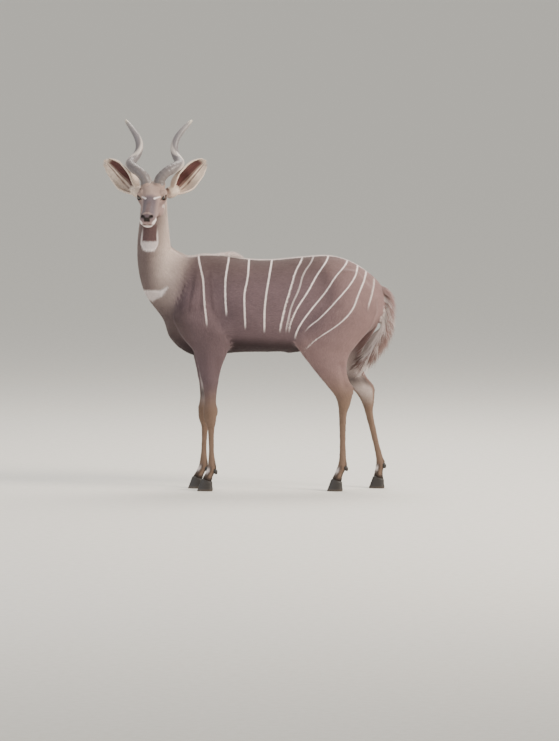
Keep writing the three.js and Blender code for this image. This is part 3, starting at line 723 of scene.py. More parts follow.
def paint_throat(paint, on):
    """A dark band under the jaw, partly dark hair and partly painted shade under the chin, and below it a white
    bib with a round lower edge.
    """
    z = paint.points[:, 2]
    angle = round_the_neck(paint.points)
    off_middle = np.abs(angle - 67)
    # The band under the jaw: partly dark hair, partly painted shade under the chin
    paint.lay("throat", on * soft(off_middle, 32, 24) * soft(z, 1022, 1029) * soft(z, 1110, 1085))
    lower = 988 + 26 * (off_middle / 31) ** 3.5
    rim = soft(off_middle, 36, 31)
    bib = rim * soft(z, lower - 3, lower + 3) * soft(z, 1030, 1025)
    sides = rim * soft(off_middle, 24, 30) * soft(z, 1015, 1025) * soft(z, 1090, 1040)
    paint.lay("white", on * np.maximum(bib * 0.68, sides * 0.75))
    paint.lay("white", on * bib * soft(z, lower + 11, lower + 4) * 0.8)


def paint_legs(paint, form):
    z = paint.points[:, 2]
    found = paint.found
    inside = np.sin(found["round"] * 2 * math.pi)
    front = np.cos(found["round"] * 2 * math.pi)
    for leg, number in LEGS.items():
        on = (form == number).astype(float)
        fore = leg.startswith("fore")
        if fore:
            paint.lay("flank", on * soft(z, 620, 520) * 0.6)
        else:
            paint.lay("rump", on * soft(z, 720, 560) * 0.75)
        top, bottom = (460, 310) if fore else (520, 350)
        paint.lay("leg", on * soft(z, top, bottom))
        paint.lay("white", on * soft(inside, -0.45, -0.8) * soft(z, 620, 540) * soft(z, 330, 420) * 0.4)
        joint = 400 if fore else 450
        paint.lay("black", on * np.exp(-(((z - joint) / 24) ** 2)) * soft(inside, -0.25, -0.7) * 0.7)
        paint.lay("black", on * soft(z, 112, 92) * soft(front, -0.3, 0.35) * 0.8)
        paint.lay("white", on * np.exp(-(((z - 84) / 11) ** 2)) * soft(front, 0.15, 0.7))
        paint.lay("black", on * soft(z, 62, 50) * 0.85)
        paint.lay("black", on * soft(front, -0.55, -0.9) * soft(z, 140, 100) * 0.8)


def opening_centre(side):
    """The middle of the lids' opening, in the head's frame."""
    x, y, z = EYE_AT
    reach = LIDS["opening"][1]
    forwards = math.radians(LIDS["forwards"])
    return np.array([x - reach * math.sin(forwards), side * (y + reach * math.cos(forwards)), z])


def from_the_lids(folded):
    """How far points are from the lids' opening, in shares of its size: 1 at its edge."""
    tilt = [math.radians(a) for a in (0, LIDS["slant"], LIDS["forwards"])]
    local = (folded - opening_centre(1)) @ np.array(Euler(tilt, "XYZ").to_matrix())
    return np.linalg.norm(local / np.array(LIDS["opening"]), axis=1)


def paint_head(paint, on):
    head = to_head(paint.points)
    u, v, w = head.T
    side = np.abs(v)
    folded = folded_over(head)

    def streak(name, start, end, outer, inner, amount=1.0):
        paint.lay(name, on * soft(near_segment(folded, start, end), outer, inner) * amount)

    paint.lay("neck", on)
    paint.lay("rump", on * soft(u, 60, -10) * 0.8)
    paint.lay("forehead", on * soft(w, -30, 14) * soft(u, -42, -14) * 0.9)
    paint.lay("nose", on * soft(side, 34, 20) * soft(u, -24, -52) * soft(w, -52, -14) * 0.9)
    paint.lay("throat", on * soft(side, 13, 4) * soft(u, -60, -100) * soft(w, -30, -10) * 0.75)
    streak("throat", (6, 56, -14), (-34, 42, -20), 13, 5, 0.4)
    streak("forehead", (12, 60, 15), (14, 44, 30), 5.5, 3.0, 0.9)
    streak("white", (0, 41, 6), (-50, 17, 13), 5.2, 3.2)
    # Between the horn's root and the ear: partly dark hair, partly painted shade between them
    streak("throat", (78, 50, 32), (112, 58, 4), 21.0, 8.0, 0.85)
    streak("white", (-4, 46, -34), (2, 49, -37), 9.0, 5.0, 0.5)
    streak("white", (22, 50, -48), (28, 50, -52), 9.0, 5.0, 0.42)
    streak("forehead", (-158, 6, -9), (-160, 22, -13), 7.0, 4.0, 0.7)
    paint.lay("nose", on * soft(u, -100, -130) * soft(w, -50, -36) * soft(w, -8, -16) * 0.5)
    streak("white", (-134, 33, -50), (-156, 25, -50), 12.0, 8.5)
    paint.lay("white", on * soft(u, -92, -108) * soft(w, -59, -65))
    # The jaw's underside behind the chin darker: partly dark hair, partly painted shade under the head
    paint.lay("throat", on * soft(w, -70, -84) * soft(u, -100, -70) * 0.7)
    streak("black", (-94, 32, -49), (-150, 30, -59), 3.0, 1.6, 0.9)
    streak("black", (-172, 0, -58), (-166, 15, -60), 5.0, 2.6, 0.85)
    paint.lay("black", on * soft(u, -161, -167) * soft(side, 15, 10) * soft(w, -46, -40) * soft(w, -20, -27))
    streak("black", (-166, 14, -23), (-164, 22, -21), 8.0, 5.5)
    paint.lay("black", on * soft(from_the_lids(folded), 1.26, 1.08) * 0.92)
    streak("black", (-6, 43, 3), (-15, 38, -3), 4.0, 2.2, 0.8)


def ear_across(name, found):
    """The share across an ear, from its outer, lower edge to its inner, upper one."""
    return found["round"] if name == "left" else 1 - found["round"]


def paint_ears(paint, form):
    for name in SIDES:
        back = (form == EARS[name]).astype(float)
        cup = (form == EAR_INSIDES[name]).astype(float)
        share = paint.found["along"] / CHARTS.length[EARS[name]]
        across = ear_across(name, paint.found)
        edge = np.minimum(across, 1 - across)
        paint.lay("neck", back)
        paint.lay("chest", back * soft(share, 0.1, 0.5) * soft(edge, 0.04, 0.2) * 0.5)
        paint.lay("ear_edge", cup)
        combed = 0.02 * np.sin(share * 34 + across * 9)
        solid = soft(across - 0.12 * share, 0.27, 0.40)
        dark = soft(across + combed, 0.18, 0.32) * soft(across, 0.97, 0.90)
        dark = dark * soft(share, 0.03, 0.13) * soft(share, 0.94, 0.82)
        folds = soft(np.sin(across * 58 - share * 5.0), -0.6, 0.6)
        paint.lay("ear_inside", cup * dark * np.maximum(solid * 0.96, folds * 0.8))
        paint.lay("black", cup * dark * (1 - folds) * solid * 0.22)
        paint.lay("ear_edge", back * soft(across, 0.70, 0.84) * soft(share, 0.78, 0.5) * 0.8)
        paint.lay("ear_edge", back * soft(edge, 0.06, 0.0) * 0.8)


def paint_tail(paint, on):
    share = paint.found["along"] / CHARTS.length[TAIL]
    outward = np.cos(paint.found["round"] * 2 * math.pi)
    paint.lay("rump", on)
    paint.lay("leg", on * soft(share, 0.1, 0.6) * 0.25)
    paint.lay("white", on * soft(outward, 0.3, -0.4) * soft(share, 0.05, 0.2) * 0.8)
    paint.lay("black", on * soft(share, 0.88, 0.98) * 0.45)


def markings(points, found):
    """The coat's colour at points of the hide, without the stripes."""
    paint = Paint(points, found)
    form = found["form"]
    paint_body(paint, on_body(form).astype(float))
    paint_trunk(paint, (form == TRUNK).astype(float))
    paint_legs(paint, form)
    paint_head(paint, (form == HEAD).astype(float))
    paint_ears(paint, form)
    paint_tail(paint, (form == TAIL).astype(float))
    return paint.value


def stripes_on(points, found):
    """Stripes show on the trunk and legs, and stop short of the spine."""
    return on_body(found["form"]).astype(float) * (np.abs(points[:, 1]) > SPINE_HALF)


def short_length(points, found):
    """The short coat's length as a share of its full length."""
    form = found["form"]
    z = points[:, 2]
    share = np.ones(len(points))
    head = to_head(points)
    share = np.where(form == HEAD, mix(0.6, 0.34, soft(head[:, 0], 60, -100)), share)
    share = np.where(on_legs(form), mix(0.5, 1.0, soft(z, 140, 600)), share)
    for name in SIDES:
        edge = np.minimum(found["round"], 1 - found["round"])
        share = np.where(form == EARS[name], mix(1.0, 0.5, soft(edge, 0.0, 0.08)), share)
        share = np.where(form == EAR_INSIDES[name], mix(1.2, 0.7, soft(edge, 0.02, 0.2)), share)
    return np.where(form == TAIL, 0.8, share)


# Hide


# Muscle and bone raised (+) or hollowed (-) on the hide: from, to, how wide and how far, in millimetres
BODY_BRUSHES = [
    ((-318, 84, 905), (-352, 108, 770), 26, 4),
    ((-352, 108, 770), (-405, 92, 716), 30, 5),
    ((-262, 96, 900), (-214, 130, 720), 34, -6),
    ((-372, 116, 700), (-222, 124, 652), 34, 6),
    ((-436, 66, 890), (-492, 52, 790), 26, -5),
    ((-300, 70, 962), (-240, 60, 964), 44, -3),
    ((150, 98, 880), (196, 108, 800), 48, -9),
    ((214, 92, 908), (222, 100, 892), 32, 8),
    ((232, 112, 880), (300, 118, 800), 40, 3),
    ((424, 48, 818), (418, 52, 800), 28, 6),
    ((384, 96, 800), (336, 104, 620), 24, -4),
    ((102, 122, 660), (112, 118, 628), 32, 7),
    ((60, 120, 606), (150, 96, 610), 26, 6),
    ((60, 0, 574), (150, 0, 582), 24, 7),
    ((-392, 0, 590), (-330, 0, 560), 30, 3),
    ((-330, 104, 900), (-354, 112, 750), 9, -2.2),
    ((-294, 100, 895), (-304, 124, 750), 9, -1.8),
]
LEG_BRUSHES = {
    "foreleg": [
        ((-204, 84, 640), (-198, 82, 620), 22, 6),
        ((-326, 84, 560), (-310, 80, 470), 20, 3),
        ((-250, 92, 560), (-252, 86, 470), 16, -3),
        ((-302, 67, 334), (-300, 67, 300), 18, 2),
        ((-246, 67, 338), (-248, 67, 322), 12, 5),
        ((-269, 80, 262), (-270, 80, 150), 6, -2.5),
        ((-269, 50, 262), (-270, 50, 150), 6, -2.5),
        ((-256, 64, 108), (-254, 64, 92), 12, 2),
    ],
    "hindleg": [
        ((268, 100, 520), (286, 96, 430), 13, -6),
        ((268, 56, 520), (286, 58, 430), 13, -6),
        ((314, 75, 430), (318, 75, 410), 12, 4),
        ((247, 96, 372), (262, 94, 352), 12, 3),
        ((272, 86, 320), (272, 84, 160), 6, -2.5),
        ((272, 56, 320), (272, 58, 160), 6, -2.5),
        ((292, 70, 112), (294, 70, 98), 12, 2),
    ],
}
HEAD_BRUSHES = [
    ((44, 54, 16), (60, 52, 12), 12, -3),
    ((-6, 50, -14), (60, 56, -20), 8, 3),
    ((-58, 40, -22), (-112, 34, -26), 16, -4),
    ((-18, 42, -4), (-34, 37, -10), 7, -3),
    ((-158, 24, -16), (-168, 18, -14), 8, 3),
    ((-128, 30, -52), (-150, 26, -56), 8, 2),
    ((0, 58, 16), (20, 56, 16), 7, 2.5),
    ((90, 48, -70), (30, 50, -84), 12, 3),
    ((-172, 0, -36), (-170, 0, -54), 4, -2.2),
    ((-92, 33, -49), (-156, 32, -59), 2.6, -3.4),
]


# The hide's fineness in metres, how often its joins are filled, and the space round the head that is swollen
HIDE_VOXEL = 0.0084
FILLET_ROUNDS = 72
HEAD_SWELL = {"at": (40.0, 0.0, -10.0), "times": 3.2, "reach": 0.235}


def head_warp(points, inverse=False):
    """Swells the space round the head, in metres, so that one voxel size gives the head finer faces."""
    centre = to_frame(to_body(np.array([HEAD_SWELL["at"]])))[0]
    swell, reach = HEAD_SWELL["times"], HEAD_SWELL["reach"]
    offset = points - centre
    distance = np.linalg.norm(offset, axis=1, keepdims=True)
    if inverse:
        new = np.where(distance < swell * reach, distance / swell, distance - (swell - 1) * reach)
    else:
        new = np.where(distance < reach, distance * swell, distance + (swell - 1) * reach)
    return centre + offset * new / np.maximum(distance, 1e-9)


def head_shells(depth):
    """The head's mass: skull, horn roots, cheeks, lips, chin, brows and the shells round the eyes."""
    def lump(at, radii):
        points, faces = ellipsoid(at, [r - depth for r in radii])
        return to_body(points), faces

    skull, skull_faces = shell_of(loft(HEAD_RIBS, 56, 5, grow=-depth))
    shells = [(to_body(skull), skull_faces), lump((-128, 0, -70), (24, 21, 11))]
    x, y, z = EYE_AT
    bx, by, bz = BROW["offset"]
    for side in SIDES.values():
        shells += [
            lump((56, side * 25, 34), (34, 27, 27)),
            lump((26, side * 29, -50), (58, 21, 36)),
            lump((-138, side * 17, -46), (27, 18, 10)),
            lump((x + bx, side * (y + by), z + bz), BROW["radii"]),
            lump((x, side * y, z), [EYE_RADIUS + LIDS["shell"]] * 3),
        ]
        ex, ey, ez = EAR_ROOT["at"]
        points, faces = ellipsoid((ex, side * ey, ez), EAR_ROOT["radii"], (side * EAR_ROOT["rise"], 0, 0))
        shells += [(to_body(points), faces), shell_of(ear_rings(side))]
    return shells


def hide_shells(depth):
    """Every form of flesh, in design millimetres, as closed shells that overlap."""
    shells = [
        shell_of(loft(SPINE_RIBS, 72, 9, grow=-depth)),
        shell_of(loft(TAIL_RIBS, 20, 8, grow=-depth)),
    ]
    for leg in LEGS:
        side = SIDES[leg.split("_")[1]]
        shells.append(shell_of(loft(striding(leg), 44, 7, side, grow=-depth)))
    return shells + head_shells(depth / 2)


def fused_hide(settings):
    """One closed mesh over all the flesh."""
    points, faces = joined(hide_shells(settings.depth / MM))
    raw = new_object("hide_raw", head_warp(to_frame(points)), faces)
    union = raw.modifiers.new("union", "REMESH")
    union.mode = "VOXEL"
    union.voxel_size = HIDE_VOXEL
    mesh = evaluated_mesh(raw)
    bpy.data.objects.remove(raw)
    set_coordinates(mesh, head_warp(coordinates(mesh), inverse=True))
    return mesh


def relaxed(mesh, rounds, hold):
    """Smooths the mesh without shrinking it."""
    edges = edge_pairs(mesh)
    points = coordinates(mesh)
    for i in range(rounds):
        weight = 0.5 if i % 2 == 0 else -0.53
        points += (neighbour_mean(points, edges) - points) * weight * hold
    set_coordinates(mesh, points)


def filleted(mesh, rounds, where):
    """Fills the creases where forms meet and leaves what stands out."""
    edges = edge_pairs(mesh)
    for _ in range(rounds):
        points = coordinates(mesh)
        pull = neighbour_mean(points, edges) - points
        outward = np.einsum("ij,ij->i", pull, vertex_normals(mesh))
        points += pull * (soft(outward, 0, 0.0003) * where * 0.6)[:, None]
        set_coordinates(mesh, points)


def brushed(points, normals, brushes, places):
    """Raises and hollows the hide along its normals, by where each point's place lies."""
    moved = points.copy()
    for start, end, wide, height in brushes:
        away = near_segment(places, start, end)
        moved += normals * (np.exp(-((away / wide) ** 2)) * height)[:, None]
    return moved


def sculpted(mesh, found):
    """Muscles, bones and the face's folds."""
    points = from_frame(coordinates(mesh))
    normals = vertex_normals(mesh)
    form = found["form"]
    both = folded_over(points)
    upper = (form == TRUNK) | (on_legs(form) & (points[:, 2] > 560))
    moved = np.where(upper[:, None], brushed(points, normals, BODY_BRUSHES, both), points)
    for leg, number in LEGS.items():
        square = both - np.outer(stride_at(leg, points[:, 2]), [1, 0, 0])
        shaped = brushed(moved, normals, LEG_BRUSHES[leg.split("_")[0]], square)
        moved = np.where((form == number)[:, None], shaped, moved)
    shaped = brushed(moved, normals, HEAD_BRUSHES, folded_over(to_head(points)))
    moved = np.where((form == HEAD)[:, None], shaped, moved)
    set_coordinates(mesh, to_frame(moved))


def cut_hide(hide):
    """Opens the lids and the nostrils."""
    cutters = []
    for side in SIDES.values():
        tilt = (0, LIDS["slant"], side * LIDS["forwards"])
        cutters.append(ellipsoid(opening_centre(side), LIDS["opening"], tilt, 40, 28))
        cutters.append(ellipsoid((-167, side * 17, -22), (10, 5.5, 4.2), (0, 28, side * 30), 24, 16))
    for points, faces in cutters:
        cutter = new_object("cutter", to_frame(to_body(points)), faces)
        cut = hide.modifiers.new("opening", "BOOLEAN")
        cut.operation = "DIFFERENCE"
        cut.solver = "MANIFOLD"
        cut.object = cutter
        mesh = evaluated_mesh(hide)
        hide.modifiers.remove(cut)
        old = hide.data
        hide.data = mesh
        bpy.data.meshes.remove(old)
        bpy.data.objects.remove(cutter)


def lies(mesh, found):
    """The way the hair lies at each vertex, smoothed over the joins and kept along the hide."""
    way = found["lie"].copy()
    way[found["form"] == HEAD] *= -1
    edges = edge_pairs(mesh)
    for _ in range(14):
        way = unit(neighbour_mean(way, edges) + way * 0.5)
    normals = vertex_normals(mesh)
    way -= normals * np.einsum("ij,ij->i", way, normals)[:, None]
    return unit(way)


# The patches that the coat is made in, so that each piece stays a moderate size
PATCHES = [
    "trunk_left", "trunk_right", "belly_left", "belly_right", "neck_left", "neck_right", "head",
    "ear_left", "ear_right", "foreleg_left", "foreleg_right", "hindleg_left", "hindleg_right", "tail",
]


def patch_numbers(found):
    """Which patch of the coat each point belongs to."""
    form, round_ = found["form"], found["round"] % 1
    left = round_ > 0.5
    low = (round_ > 0.3) & (round_ < 0.7)

    def sided(name):
        return np.where(left, PATCHES.index(name + "_left"), PATCHES.index(name + "_right"))

    number = np.where(found["along"] > NECK_ROOT, sided("neck"), np.where(low, sided("belly"), sided("trunk")))
    number = np.where(form == HEAD, PATCHES.index("head"), number)
    for name in SIDES:
        on_ear = (form == EARS[name]) | (form == EAR_INSIDES[name])
        number = np.where(on_ear, PATCHES.index("ear_" + name), number)
    for leg, one in LEGS.items():
        number = np.where(form == one, PATCHES.index(leg), number)
    return np.where(form == TAIL, PATCHES.index("tail"), number)


def long_length(found):
    """How long the longer hair is, as shares of the mane's and the tail's length, 0 where there is none."""
    form, along = found["form"], found["along"]
    off_middle = np.abs(found["round"] - np.rint(found["round"]))
    ridge = soft(off_middle, 0.024, 0.010) * (form == TRUNK)
    behind = NECK_ROOT - along
    poll = CHARTS.length[TRUNK]
    mane = mix(0.34, 0.26, soft(behind, 0, -200)) * soft(along, poll - 10, poll - 60) * soft(behind, 260, 120)
    crest = 0.85 * soft(behind, 140, 235) * soft(behind, 340, 245)
    low = 0.22 * soft(behind, 760, 620) * soft(behind, 60, 160)
    share = found["along"] / CHARTS.length[TAIL]
    tail = (form == TAIL) * mix(0.6, 1.0, soft(share, 0.1, 0.5)) * soft(share, 0.02, 0.1)
    return ridge * np.maximum(np.maximum(mane, crest), low), tail


def bare(points, found):
    """Where the hide has no fur: the nose pad, the nostrils and the lids' edges."""
    head = to_head(points)
    folded = folded_over(head)
    pad = soft(head[:, 0], -161, -167) * soft(head[:, 2], -58, -51) * soft(folded[:, 1], 24, 18)
    return np.maximum(pad, soft(from_the_lids(folded), 1.22, 1.1)) * (found["form"] == HEAD)


# The streaks' map on the hide: millimetres for once round a form, and how far the forms' maps lie apart
GRAIN_ROUND = 600.0
GRAIN_APART = 1000.0


def store_fields(mesh):
    """Writes what the hide's finish and the hair read from it."""
    points = from_frame(coordinates(mesh))
    found = CHARTS.find(points)
    colours = np.ones((len(points), 4))
    colours[:, :3] = markings(points, found)
    store(mesh, "coat_colour", "FLOAT_COLOR", colours)
    phase, pitch, gain = stripe_fields(points)
    store(mesh, "stripe_count", "FLOAT", phase)
    store(mesh, "stripe_pitch", "FLOAT", pitch)
    store(mesh, "stripe_gain", "FLOAT", gain * stripes_on(points, found))
    no_fur = bare(points, found)
    store(mesh, "bare", "FLOAT", no_fur)
    store(mesh, "grain", "FLOAT_VECTOR", np.stack(
        [found["along"], found["round"] * GRAIN_ROUND, found["form"] * GRAIN_APART], axis=1))
    store(mesh, "lie", "FLOAT_VECTOR", lies(mesh, found))
    store(mesh, "skin_normal", "FLOAT_VECTOR", vertex_normals(mesh))
    store(mesh, "short_length", "FLOAT", short_length(points, found) * (no_fur < 0.5))
    mane, tail = long_length(found)
    store(mesh, "mane_length", "FLOAT", mane)
    store(mesh, "tail_length", "FLOAT", tail)
    centres = np.empty(len(mesh.polygons) * 3)
    mesh.polygons.foreach_get("center", centres)
    on_faces = CHARTS.find(from_frame(centres.reshape(-1, 3)))
    store(mesh, "patch", "INT", patch_numbers(on_faces).astype(np.int32), "FACE")


def make_hide(context):
    mesh = fused_hide(context.scene.kudu_coat)
    points = from_frame(coordinates(mesh))
    form = CHARTS.find(points)["form"]
    body = on_body(form).astype(float) * soft(points[:, 2], 90, 160)
    relaxed(mesh, 10, np.where(form == HEAD, 0.7, 1.0)[:, None])
    filleted(mesh, FILLET_ROUNDS, body)
    sculpted(mesh, CHARTS.find(from_frame(coordinates(mesh))))
    relaxed(mesh, 4, np.where(form == HEAD, 0.4, 1.0)[:, None])
    hide = bpy.data.objects.new("hide", mesh)
    context.scene.collection.objects.link(hide)
    cut_hide(hide)
    store_fields(hide.data)
    hide.data.shade_smooth()
    hide.data.materials.clear()
    hide.data.materials.append(hide_material())
    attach(hide, "root")
    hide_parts("torso", "neck", "head", "tail", "ear_left", "ear_right")
    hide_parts(*[f"{leg}_{part}" for leg in LEGS for part in ("upper", "lower")])
    return hide


# Materials


def add_node(tree, kind, inputs=None, **settings):
    """One node with its settings; an input is a value or the socket that feeds it."""
    node = tree.nodes.new(kind)
    for name, value in settings.items():
        setattr(node, name, value)
    for name, value in (inputs or {}).items():
        socket = node.inputs[name]
        if isinstance(value, bpy.types.NodeSocket):
            tree.links.new(value, socket)
        else:
            socket.default_value = value
    return node


def new_material(name, **principled):
    """A material with one Principled shader, returned with its tree and shader."""
    material = bpy.data.materials.new(name)
    material.use_nodes = True
    tree = material.node_tree
    tree.nodes.clear()
    shader = add_node(tree, "ShaderNodeBsdfPrincipled", principled)
    output = add_node(tree, "ShaderNodeOutputMaterial", {"Surface": shader.outputs["BSDF"]})
    output.is_active_output = True
    return material, tree, shader


def ramp(tree, value, stops):
    """A colour ramp over (place, grey) or (place, (r, g, b)) stops."""
    node = add_node(tree, "ShaderNodeValToRGB", {"Fac": value})
    elements = node.color_ramp.elements
    while len(elements) < len(stops):
        elements.new(0.5)
    for element, (place, colour) in zip(elements, stops):
        element.position = place
        rgb = (colour,) * 3 if isinstance(colour, (int, float)) else colour
        element.color = (*rgb, 1)
    return node.outputs["Color"]


def mixed(tree, amount, a, b, blend="MIX"):
    node = add_node(tree, "ShaderNodeMix", data_type="RGBA", blend_type=blend)
    for index, value in ((0, amount), (6, a), (7, b)):
        if isinstance(value, bpy.types.NodeSocket):
            tree.links.new(value, node.inputs[index])
        elif index == 0:
            node.inputs[index].default_value = value
        else:
            node.inputs[index].default_value = (*value, 1) if len(value) == 3 else value
    return node.outputs[2]


def maths(tree, operation, a, b=0.0):
    node = add_node(tree, "ShaderNodeMath", {0: a, 1: b}, operation=operation)
    return node.outputs[0]


def coat_tone(tree):
    """The coat's colour at the surface, with its white stripes and patches of denser and thinner hair."""
    def field(name):
        return add_node(tree, "ShaderNodeAttribute", attribute_name=name).outputs["Fac"]

    colour = add_node(tree, "ShaderNodeAttribute", attribute_name="coat_colour").outputs["Color"]
    place = add_node(tree, "ShaderNodeTexCoord").outputs["Object"]
    count = field("stripe_count")
    off_middle = maths(tree, "ABSOLUTE", maths(tree, "SUBTRACT", count, maths(tree, "ROUND", count)))
    # The stripes' edges waver by about a millimetre, as hair crosses them
    waver = add_node(tree, "ShaderNodeTexNoise", {"Vector": place, "Scale": 260.0, "Detail": 2.0})
    waver = maths(tree, "MULTIPLY", maths(tree, "SUBTRACT", waver.outputs["Fac"], 0.5), 4.0)
    away = maths(tree, "ADD", maths(tree, "MULTIPLY", off_middle, field("stripe_pitch")), waver)
    edge = add_node(tree, "ShaderNodeMapRange", {
        "Value": away, "From Min": STRIPE_WIDTH / 2 + 1.2, "From Max": STRIPE_WIDTH / 2 - 1.2,
        "To Min": 0.0, "To Max": 1.0}, interpolation_type="SMOOTHSTEP")
    mask = maths(tree, "MULTIPLY", edge.outputs["Result"], field("stripe_gain"))
    striped = mixed(tree, mask, colour, tuple(bpy.context.scene.kudu_colours.white))
    # Patches of denser and thinner coat, about 60 mm across
    clouds = add_node(tree, "ShaderNodeTexNoise", {
        "Vector": place, "Scale": 17.0, "Detail": 5.0, "Roughness": 0.6})
    patchy = ramp(tree, clouds.outputs["Fac"], [(0.3, 0.86), (0.7, 1.0)])
    return mixed(tree, 1.0, striped, patchy, "MULTIPLY")


def hide_material():
    """Short hair over hide: matt, with a slight sheen where light grazes it, streaked along its lie."""
    material, tree, shader = new_material("Short hair over hide", **{
        "Roughness": 0.82, "Sheen Weight": 0.12, "Sheen Roughness": 0.45, "Specular IOR Level": 0.25})
    where = add_node(tree, "ShaderNodeAttribute", attribute_name="grain").outputs["Vector"]
    # Streaks are drawn 4 mm across, coarser than hair, so that they show at the picture's scale
    stretched = add_node(
        tree, "ShaderNodeVectorMath", {0: where, 1: (1 / 26, 1 / 4, 1)}, operation="MULTIPLY")
    streaks = add_node(tree, "ShaderNodeTexNoise", {
        "Vector": stretched.outputs[0], "Scale": 1.0, "Detail": 4.0, "Roughness": 0.62})
    shade = ramp(tree, streaks.outputs["Fac"], [(0.25, 0.74), (0.75, 0.96)])
    tree.links.new(mixed(tree, 1.0, coat_tone(tree), shade, "MULTIPLY"), shader.inputs["Base Color"])
    bump = add_node(tree, "ShaderNodeBump", {
        "Height": streaks.outputs["Fac"], "Strength": 0.35, "Distance": 0.002})
    tree.links.new(bump.outputs["Normal"], shader.inputs["Normal"])
    return material


def hair_material(name, roughness):
    """Tufts of hair: each keeps the colour of the hide at its root, a little varied from tuft to tuft."""
    material, tree, shader = new_material(name, **{
        "Roughness": roughness, "Sheen Weight": 0.12, "Sheen Roughness": 0.4, "Specular IOR Level": 0.25})
    shade = add_node(tree, "ShaderNodeAttribute", attribute_name="tuft_shade").outputs["Color"]
    tree.links.new(mixed(tree, 1.0, coat_tone(tree), shade, "MULTIPLY"), shader.inputs["Base Color"])
    return material


def horn_material():
    """Keratin sheath: hard, waxy and dark grey-brown, pale towards the tips, with a painted highlight along the
    keel.
    """
    material, tree, shader = new_material("Keratin horn sheath", **{
        "Roughness": 0.46, "IOR": 1.55, "Specular IOR Level": 0.5,
        "Coat Weight": 0.08, "Coat Roughness": 0.3})
    share = add_node(tree, "ShaderNodeAttribute", attribute_name="horn_share").outputs["Fac"]
    keel = add_node(tree, "ShaderNodeAttribute", attribute_name="horn_keel").outputs["Fac"]
    grain = add_node(tree, "ShaderNodeAttribute", attribute_name="horn_grain").outputs["Vector"]
    # Fibres run along the horn about 3 mm apart
    fibres = add_node(tree, "ShaderNodeTexNoise", {
        "Vector": grain, "Scale": 1.0, "Detail": 5.0, "Roughness": 0.65})
    base = ramp(tree, share, [
        (0.0, hex_colour("#6f6664")), (0.35, hex_colour("#766e6f")), (0.75, hex_colour("#7d777a")),
        (0.93, hex_colour("#918a88")), (1.0, hex_colour("#d6cbb8"))])
    # Painted highlight: the keel drawn pale, as its ridge catches the light
    lit_keel = mixed(tree, ramp(tree, keel, [(0.3, 0.0), (0.95, 0.85)]), base, hex_colour("#d6cac1"))
    fibre_shade = ramp(tree, fibres.outputs["Fac"], [(0.3, 0.62), (0.72, 1.0)])
    streaked = mixed(tree, 0.75, lit_keel, fibre_shade, "MULTIPLY")
    tree.links.new(streaked, shader.inputs["Base Color"])
    bump = add_node(tree, "ShaderNodeBump", {
        "Height": fibres.outputs["Fac"], "Strength": 0.5, "Distance": 0.0012})
    tree.links.new(bump.outputs["Normal"], shader.inputs["Normal"])
    return material


def hoof_material():
    """Hoof keratin: near black, dull, finely ridged round the wall and dusty where it bears on the ground."""
    material, tree, shader = new_material("Keratin hoof wall", **{"Roughness": 0.5, "IOR": 1.55})
    place = add_node(tree, "ShaderNodeTexCoord").outputs["Object"]
    # Growth lines about 3 mm apart run round the wall
    squeezed = add_node(tree, "ShaderNodeMapping", {"Vector": place, "Scale": (18.0, 18.0, 330.0)})
    lines = add_node(tree, "ShaderNodeTexNoise", {"Vector": squeezed.outputs[0], "Scale": 1.0, "Detail": 3.0})
    height = add_node(tree, "ShaderNodeSeparateXYZ", {"Vector": place}).outputs["Z"]
    dust = ramp(tree, maths(tree, "MULTIPLY", height, 40.0), [(0.0, 0.7), (0.5, 0.0)])
    base = mixed(tree, dust, hex_colour("#2a2522"), hex_colour("#5f5247"))
    marked = mixed(tree, 0.6, base, ramp(tree, lines.outputs["Fac"], [(0.3, 0.6), (0.7, 1.0)]), "MULTIPLY")
    tree.links.new(marked, shader.inputs["Base Color"])
    bump = add_node(tree, "ShaderNodeBump", {
        "Height": lines.outputs["Fac"], "Strength": 0.4, "Distance": 0.001})
    tree.links.new(bump.outputs["Normal"], shader.inputs["Normal"])
    return material


def eye_material():
    """A wet eye: dark brown iris with a wide dark pupil lying level, under a clear glossy cornea."""
    material, tree, shader = new_material("Wet cornea over iris", **{
        "Roughness": 0.06, "IOR": 1.38, "Specular IOR Level": 0.6,
        "Coat Weight": 1.0, "Coat Roughness": 0.02})
    face = add_node(tree, "ShaderNodeAttribute", attribute_name="eye_place").outputs["Vector"]
    parts = add_node(tree, "ShaderNodeSeparateXYZ", {"Vector": face})
    across, high = (maths(tree, "ABSOLUTE", parts.outputs[axis]) for axis in ("X", "Z"))
    long_way = maths(tree, "POWER", maths(tree, "DIVIDE", across, PUPIL["half_length"]), 4.0)
    short_way = maths(tree, "POWER", maths(tree, "DIVIDE", high, PUPIL["half_height"]), 4.0)
    pupil = ramp(tree, maths(tree, "ADD", long_way, short_way), [(0.8, 1.0), (1.0, 0.0)])
    iris = ramp(tree, maths(tree, "DIVIDE", parts.outputs["Y"], EYE_RADIUS), [
        (0.35, hex_colour("#120c0a")), (0.55, hex_colour("#2c1a12")), (0.8, hex_colour("#4a2c1c"))])
    fibres = add_node(tree, "ShaderNodeTexNoise", {"Vector": face, "Scale": 0.6, "Detail": 4.0})
    varied = mixed(tree, 0.6, iris, ramp(tree, fibres.outputs["Fac"], [(0.3, 0.55), (0.7, 1.0)]), "MULTIPLY")
    tree.links.new(mixed(tree, pupil, varied, hex_colour("#050304")), shader.inputs["Base Color"])
    return material


# Hair: a tuft's form, the node tree that plants it, and its colours


